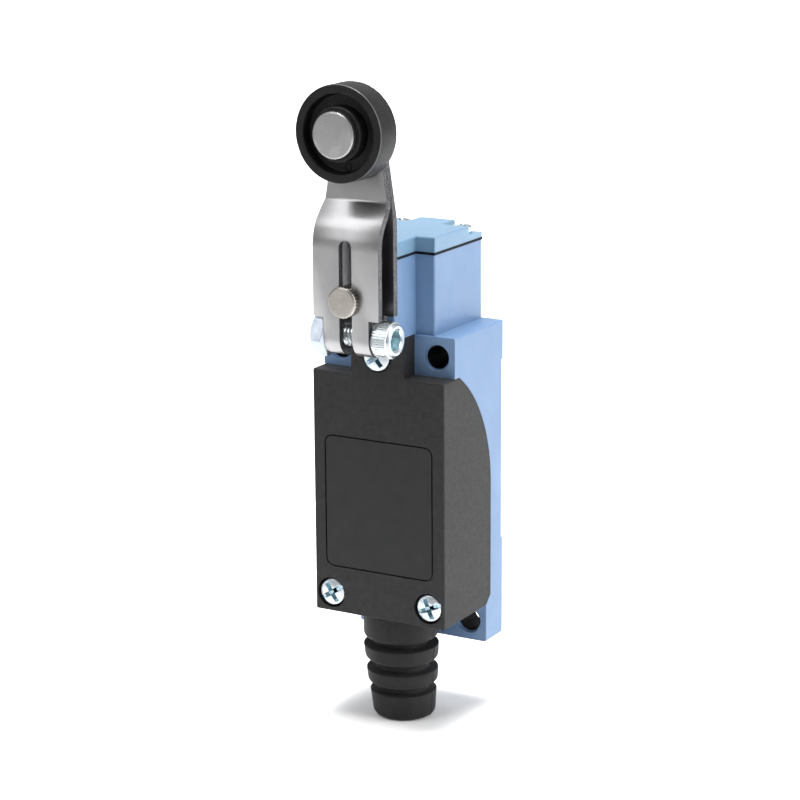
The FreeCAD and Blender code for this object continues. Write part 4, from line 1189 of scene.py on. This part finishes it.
@dataclass
class Clamp:
    """The socket head bolt and the hexagon nut that pinch the arm onto the shaft."""

    head_diameter: float = 7.0
    head_length: float = 4.0
    shank_radius: float = 1.95
    thread_depth: float = 0.42
    knurls: int = 42
    knurl_depth: float = 0.26
    socket_flats: float = 3.7
    socket_depth: float = 2.3
    pitch: float = 0.7
    nut_flats: float = 7.6
    nut_turn_deg: float = 191.0
    nut_chamfer: float = 0.55
    nut_bore_radius: float = 2.0

    def knurled(self, along: float, radius: float, angle: float) -> float:
        """The shaping of the bolt's head: straight knurls outside and a hexagon socket inside.

        Args:
            along: The distance from the head's underside, in millimetres; not used.
            radius: The plain radius.
            angle: The angle round the axis.

        Returns:
            The radius of the real surface.
        """
        rim = self.head_diameter / 2.0
        if radius >= rim - 0.001:
            phase = (angle * self.knurls / (2.0 * math.pi)) % 1.0
            return radius - self.knurl_depth * max(0.0, 1.0 - abs(phase - 0.5) / 0.34)
        if radius <= self.socket_flats / 2.0:
            return radius / math.cos((angle % (math.pi / 3.0)) - math.pi / 6.0)
        return radius

    def head(self, skin: bpy.types.Material, seat: Vector) -> bpy.types.Object:
        """Makes the bolt's head: a washer face, the knurled band, a stepped lip and the socket.

        Args:
            skin: Its finish.
            seat: The middle of its underside.

        Returns:
            The head.
        """
        rim = self.head_diameter / 2.0
        flat = self.socket_flats / 2.0
        length = self.head_length
        floor = length - self.socket_depth
        section = [(0.0, 0.0)]
        section += softened([(0.0, 1.9, 0.0), (0.0, rim - 0.25, 0.2), (0.35, rim - 0.22, 0.1),
                             (0.42, rim - 0.1, 0.0)])
        section += run((0.5, rim), (length - 0.75, rim), 4)
        section += softened([(length - 0.68, rim - 0.05, 0.0), (length - 0.60, rim - 0.34, 0.05),
                             (length - 0.30, rim - 0.38, 0.12), (length, rim - 0.70, 0.12),
                             (length, flat + 0.42, 0.12), (length - 0.30, flat + 0.14, 0.0)])
        section += [(length - 0.36, flat), (floor, flat), (floor - 0.45, flat * 0.25), (floor - 0.5, 0.0)]
        head = revolved("bolt_head", seat, Facing.RIGHT, section, self.knurls * 6, shaping=self.knurled)
        head.data.materials.append(skin)
        stain(head, Metal.NUT.value.make(), lambda spot: spot.x > seat.x + mm(length - 0.28))
        wall = mm(flat * 1.17)
        mouth = seat.x + mm(length - 0.34)
        stain(head, Metal.SOCKET.value.make(),
              lambda spot: seat.x < spot.x < mouth and math.hypot(spot.y - seat.y, spot.z - seat.z) < wall)
        return head

    def shank(self, skin: bpy.types.Material, seat: Vector, length: float) -> bpy.types.Object:
        """Makes the bolt's threaded shank.

        Args:
            skin: Its finish.
            seat: The middle of the head's underside.
            length: Its length in millimetres.

        Returns:
            The shank.
        """
        radius = self.shank_radius
        section = [(0.3, 0.0)] + run((0.3, radius), (0.5 - length, radius), round(length / self.pitch * 8))
        section += [(-length, radius * 0.72), (-length, 0.0)]
        shank = revolved("bolt_shank", seat, Facing.RIGHT, section, 48,
                         shaping=thread(self.pitch, self.thread_depth))
        shank.data.materials.append(skin)
        return shank

    def hexagon(self, along: float, radius: float, angle: float) -> float:
        """The shaping of the nut: a hexagon whose corners are turned off by the chamfer's cone.

        Args:
            along: The distance from the nut's outer face, in millimetres; not used.
            radius: The cone's radius there, or the bore's.
            angle: The angle round the axis.

        Returns:
            The radius of the real surface.
        """
        flat = self.nut_flats / 2.0
        if radius < flat * 0.8:
            return radius
        turned = (angle - math.radians(self.nut_turn_deg)) % (math.pi / 3.0)
        return min(radius, flat / math.cos(turned - math.pi / 6.0))

    def nut(self, skin: bpy.types.Material, face: Vector, length: float) -> bpy.types.Object:
        """Makes the nut.

        Args:
            skin: Its finish.
            face: The middle of its outer face.
            length: Its length in millimetres.

        Returns:
            The nut.
        """
        bore = self.nut_bore_radius
        flat = self.nut_flats / 2.0
        corner = flat / math.cos(math.pi / 6.0) + 0.02
        outer = run((0.0, flat * 0.95), (self.nut_chamfer, corner), 10)
        inner = [(length - along, radius) for along, radius in reversed(outer)]
        bores = [(length, bore + 0.3), (length - 0.3, bore), (0.3, bore), (0.0, bore + 0.3)]
        nut = revolved("hexagon_clamp_nut", face, Facing.RIGHT, outer + inner + bores, 144, True, self.hexagon)
        nut.data.materials.append(skin)
        break_edges(nut, 0.08, 45.0)
        return nut

    def build(self) -> None:
        """Makes the bolt and the nut."""
        bolt_zinc = Metal.BOLT.value.make()
        low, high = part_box("clamp_bolt")
        axis_y = (low.y + high.y) / 2.0
        axis_z = (low.z + high.z) / 2.0
        nut_low, nut_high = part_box("clamp_nut")
        seat = Vector((high.x - mm(self.head_length), axis_y, axis_z))
        head = self.head(bolt_zinc, seat)
        shank = self.shank(bolt_zinc, seat, in_mm(seat.x - low.x))
        place(joined("knurled_clamp_bolt", [head, shank]), "clamp_bolt")
        face = Vector((nut_low.x, axis_y, axis_z))
        place(self.nut(Metal.NUT.value.make(), face, in_mm(nut_high.x - nut_low.x)), "clamp_nut")


@dataclass
class RollerEnd:
    """The roller and the pin it turns on."""

    bore_radius: float = 3.05
    hub_radius: float = 5.05
    hub_stand: float = 0.5
    web_radius: float = 7.2
    web_depth: float = 2.3
    lip_radius: float = 7.45
    # How wide the painted highlight round the front rim's outer edge is.
    highlight_width: float = 0.17
    pin_shank_radius: float = 2.2
    rivet_radius: float = 3.2
    rivet_height: float = 0.8
    pin_head_height: float = 1.25
    pin_chamfer: float = 0.24
    mark_radius: float = 0.55
    mark_drop: float = 6.2
    mark_aside: float = 0.7

    def roller(self) -> None:
        """Makes the moulded roller, its gate mark included."""
        low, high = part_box("roller")
        axis = Vector((0.0, 0.0, (low.z + high.z) / 2.0))
        back = in_mm(-high.y)
        hub = in_mm(-low.y)
        rim = hub - self.hub_stand
        web = rim - self.web_depth
        radius = in_mm(high.z - low.z) / 2.0
        section = softened([
            (back, self.bore_radius, 0.15), (back, radius, 0.35), (rim, radius, 0.30),
            (rim, self.lip_radius, 0.22), (rim - 0.35, self.web_radius + 0.08, 0.1),
            (web, self.web_radius, 0.35), (web, self.hub_radius, 0.2), (hub, self.hub_radius, 0.22),
            (hub, self.bore_radius, 0.15),
        ], closed=True)
        nylon = Plastic.ROLLER.value.make()
        roller = revolved("moulded_roller", axis, Facing.FRONT, section, 160, True)
        roller.data.materials.append(nylon)
        # The front rim's outer edge takes a painted highlight.
        inner = mm(radius - self.highlight_width)
        front = -mm(rim - self.highlight_width)
        stain(roller, Plastic.RUBBED.value.make(),
              lambda spot: math.hypot(spot.x, spot.z - axis.z) > inner and spot.y < front)
        place(roller, "roller")
        spot = axis + Vector((mm(self.mark_aside), -mm(web - 0.05), -mm(self.mark_drop)))
        ring = softened([
            (0.0, 0.0, 0.0), (0.01, self.mark_radius * 0.8, 0.02), (0.20, self.mark_radius, 0.06),
            (0.20, self.mark_radius + 0.22, 0.06), (0.0, self.mark_radius + 0.3, 0.0), (-0.1, 0.0, 0.0),
        ], steps=4)
        gate = revolved("roller_gate_mark", spot, Facing.FRONT, ring, 40)
        gate.data.materials.append(nylon)
        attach(gate, "roller")

    def pin(self) -> None:
        """Makes the riveted pin."""
        low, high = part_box("roller_pin")
        axis = Vector((0.0, 0.0, (low.z + high.z) / 2.0))
        front = in_mm(-low.y)
        back = in_mm(-high.y)
        radius = in_mm(high.z - low.z) / 2.0
        core = self.pin_shank_radius
        rivet = back + self.rivet_height
        seat = front - self.pin_head_height
        bevel = self.pin_chamfer
        section = softened([
            (back, 0.0, 0.0), (back, core, 0.5), (back + 0.35, self.rivet_radius, 0.3),
            (rivet, self.rivet_radius, 0.1), (rivet, core, 0.0), (seat, core, 0.1), (seat, radius, 0.12),
            (front - bevel, radius, 0.04), (front, radius - bevel, 0.06), (front, 0.0, 0.0),
        ])
        pin = revolved("riveted_roller_pin", axis, Facing.FRONT, section, 128)
        pin.data.materials.append(Metal.PIN.value.make())
        place(pin, "roller_pin")

    def build(self) -> None:
        """Makes both pieces."""
        self.roller()
        self.pin()


@dataclass
class Lever:
    """The shaft with its toothed index disc, and the strip arm."""

    shaft_height: float = 40.7
    disc_radius: float = 2.98
    disc_front: float = 37.03
    disc_length: float = 1.5
    teeth: int = 30
    tooth_depth: float = 0.34
    gap_share: float = 0.30
    tumbled_edge: float = 0.10

    def toothed(self, along: float, radius: float, angle: float) -> float:
        """The shaping of the disc's rim: rounded teeth with narrow gaps.

        Args:
            along: The depth in millimetres; not used.
            radius: The plain radius.
            angle: The angle round the axis.

        Returns:
            The radius of the real surface.
        """
        if radius < self.disc_radius - 0.01:
            return radius
        phase = (angle * self.teeth / (2.0 * math.pi)) % 1.0
        return radius - self.tooth_depth * max(0.0, 1.0 - (abs(phase - 0.5) / self.gap_share) ** 2)

    def index_disc(self, nickel: bpy.types.Material) -> None:
        """Makes the crisp toothed disc over the front end of the shaft.

        Args:
            nickel: The finish of its face and tooth tips.
        """
        axis = Vector((0.0, 0.0, mm(self.shaft_height)))
        front = self.disc_front
        back = front - self.disc_length
        rim = self.disc_radius
        section = [(back - 0.03, 0.0), (back - 0.03, rim - 0.5)]
        section += run((back, rim), (front - 0.42, rim), 3)
        section += softened([(front - 0.38, rim - 0.02, 0.0), (front - 0.30, rim - 0.05, 0.1),
                             (front, rim - 0.32, 0.15), (front, rim - 0.9, 0.0)])
        section += [(front, 0.0)]
        disc = revolved("shaft_index_disc", axis, Facing.FRONT, section, self.teeth * 10, shaping=self.toothed)
        disc.data.materials.append(nickel)
        # The gaps between the teeth take painted shade.
        gap_end = front - 0.30
        stain(disc, Metal.GAP.value.make(), lambda spot: back < in_mm(-spot.y) < gap_end
              and math.hypot(spot.x, spot.z - axis.z) < mm(rim - 0.14))
        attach(disc, "shaft")

    def build(self) -> None:
        """Reworks the arm, makes the disc and dresses the shaft."""
        nickel = Metal.NICKEL.value.make()
        for node in ("lever_shaft", "plunger", "roller_sleeve"):
            dress(node, nickel)
        self.index_disc(nickel)
        arm = reworked("lever_arm", "folded_strip_arm", self.tumbled_edge)
        arm.data.materials.append(StainlessStrip().make())
        place(arm, "lever_arm")


@dataclass
class Gland:
    """The ribbed rubber gland, with its mould seam and its slight lean.

    The plug's corners are given from the gland's top; the collar's and the ribs' heights are the frame's own. A
    rib has its top, its lower edge, its radius and the radius of the neck under it, and the last one ends in the bore.
    """

    bore_radius: float = 3.2
    plug: tuple[Triple, ...] = ((0.0, 6.7, 0.1), (-1.4, 6.7, 0.0), (-1.4, 6.4, 0.0))
    collar: tuple[Triple, ...] = (
        (-24.38, 6.4, 0.0), (-24.38, 7.4, 0.1), (-30.05, 7.4, 1.5), (-30.05, 5.3, 0.1),
    )
    ribs: tuple[tuple[float, float, float, float], ...] = (
        (-31.5, -34.6, 7.45, 5.2), (-36.45, -39.35, 7.1, 5.0),
    )
    end_rib: tuple[float, float] = (-40.9, 6.55)
    rib_taper: float = 0.09
    seam_from_radius: float = 5.6
    seam_height: float = 0.14
    seam_width_deg: float = 3.0
    lean: float = 0.045
    lean_from: float = -31.0
    sides: int = 240

    def seamed(self, along: float, radius: float, angle: float) -> float:
        """The shaping of the ribs: a thin flash on each side where the mould's halves met.

        Args:
            along: The height in millimetres; not used.
            radius: The plain radius.
            angle: The angle round the axis.

        Returns:
            The radius of the real surface.
        """
        if radius < self.seam_from_radius:
            return radius
        off = abs((math.degrees(angle) + 90.0) % 180.0 - 90.0)
        return radius + self.seam_height * max(0.0, 1.0 - off / self.seam_width_deg)

    def build(self) -> None:
        """Makes the gland."""
        low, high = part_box("cable_gland")
        axis = Vector((0.0, (low.y + high.y) / 2.0, 0.0))
        top = in_mm(high.z)
        corners = [(top, self.bore_radius, 0.15)]
        corners += [(top + down, radius, rounding) for down, radius, rounding in self.plug]
        corners += self.collar
        end_top, end_radius = self.end_rib
        for rib_top, rib_low, wide, core in self.ribs + ((end_top, in_mm(low.z), end_radius, self.bore_radius),):
            skirt = wide - self.rib_taper * (rib_top - rib_low)
            corners += [(rib_top, corners[-1][1], 0.25), (rib_top, wide, 0.16), (rib_low, skirt, 1.35),
                        (rib_low, core, 0.25)]
        section = softened(corners, closed=True, steps=7)
        gland = revolved("ribbed_cable_gland", axis, Facing.UP, section, self.sides, True, self.seamed)
        for vertex in gland.data.vertices:
            vertex.co.x += self.lean * max(0.0, mm(self.lean_from) - vertex.co.z)
        gland.data.materials.append(Plastic.GLAND.value.make())
        place(gland, "cable_gland")


class Inside:
    """What works inside the closed body."""

    def build(self) -> None:
        """Dresses the carried-over nodes."""
        brass = Metal.BRASS.value.make()
        for node in ("break_bridge", "make_bridge", "break_terminal_left", "break_terminal_right",
                     "make_terminal_left", "make_terminal_right"):
            dress(node, brass)
        bronze = Metal.BRONZE.value.make()
        dress("shaft_bush", bronze)
        dress("plunger_guide", bronze)
        spring = Metal.SPRING.value.make()
        for node in ("plunger_spring", "carrier_spring", "cam_leaf_spring", "shaft_clip"):
            dress(node, spring)
        dress("switch_case", Plastic.PHENOLIC.value.make())
        dress("switch_lid", Plastic.IVORY.value.make())
        dress("contact_carrier", Plastic.RED.value.make())


def main() -> None:
    """Builds the studio and the switch."""
    logging.basicConfig(level=logging.INFO, format="%(name)s: %(message)s")
    Studio().build()
    for assembly in (Enclosure(), Fasteners(), Clamp(), RollerEnd(), Lever(), Gland(), Inside()):
        assembly.build()


if __name__ == "__main__":
    main()
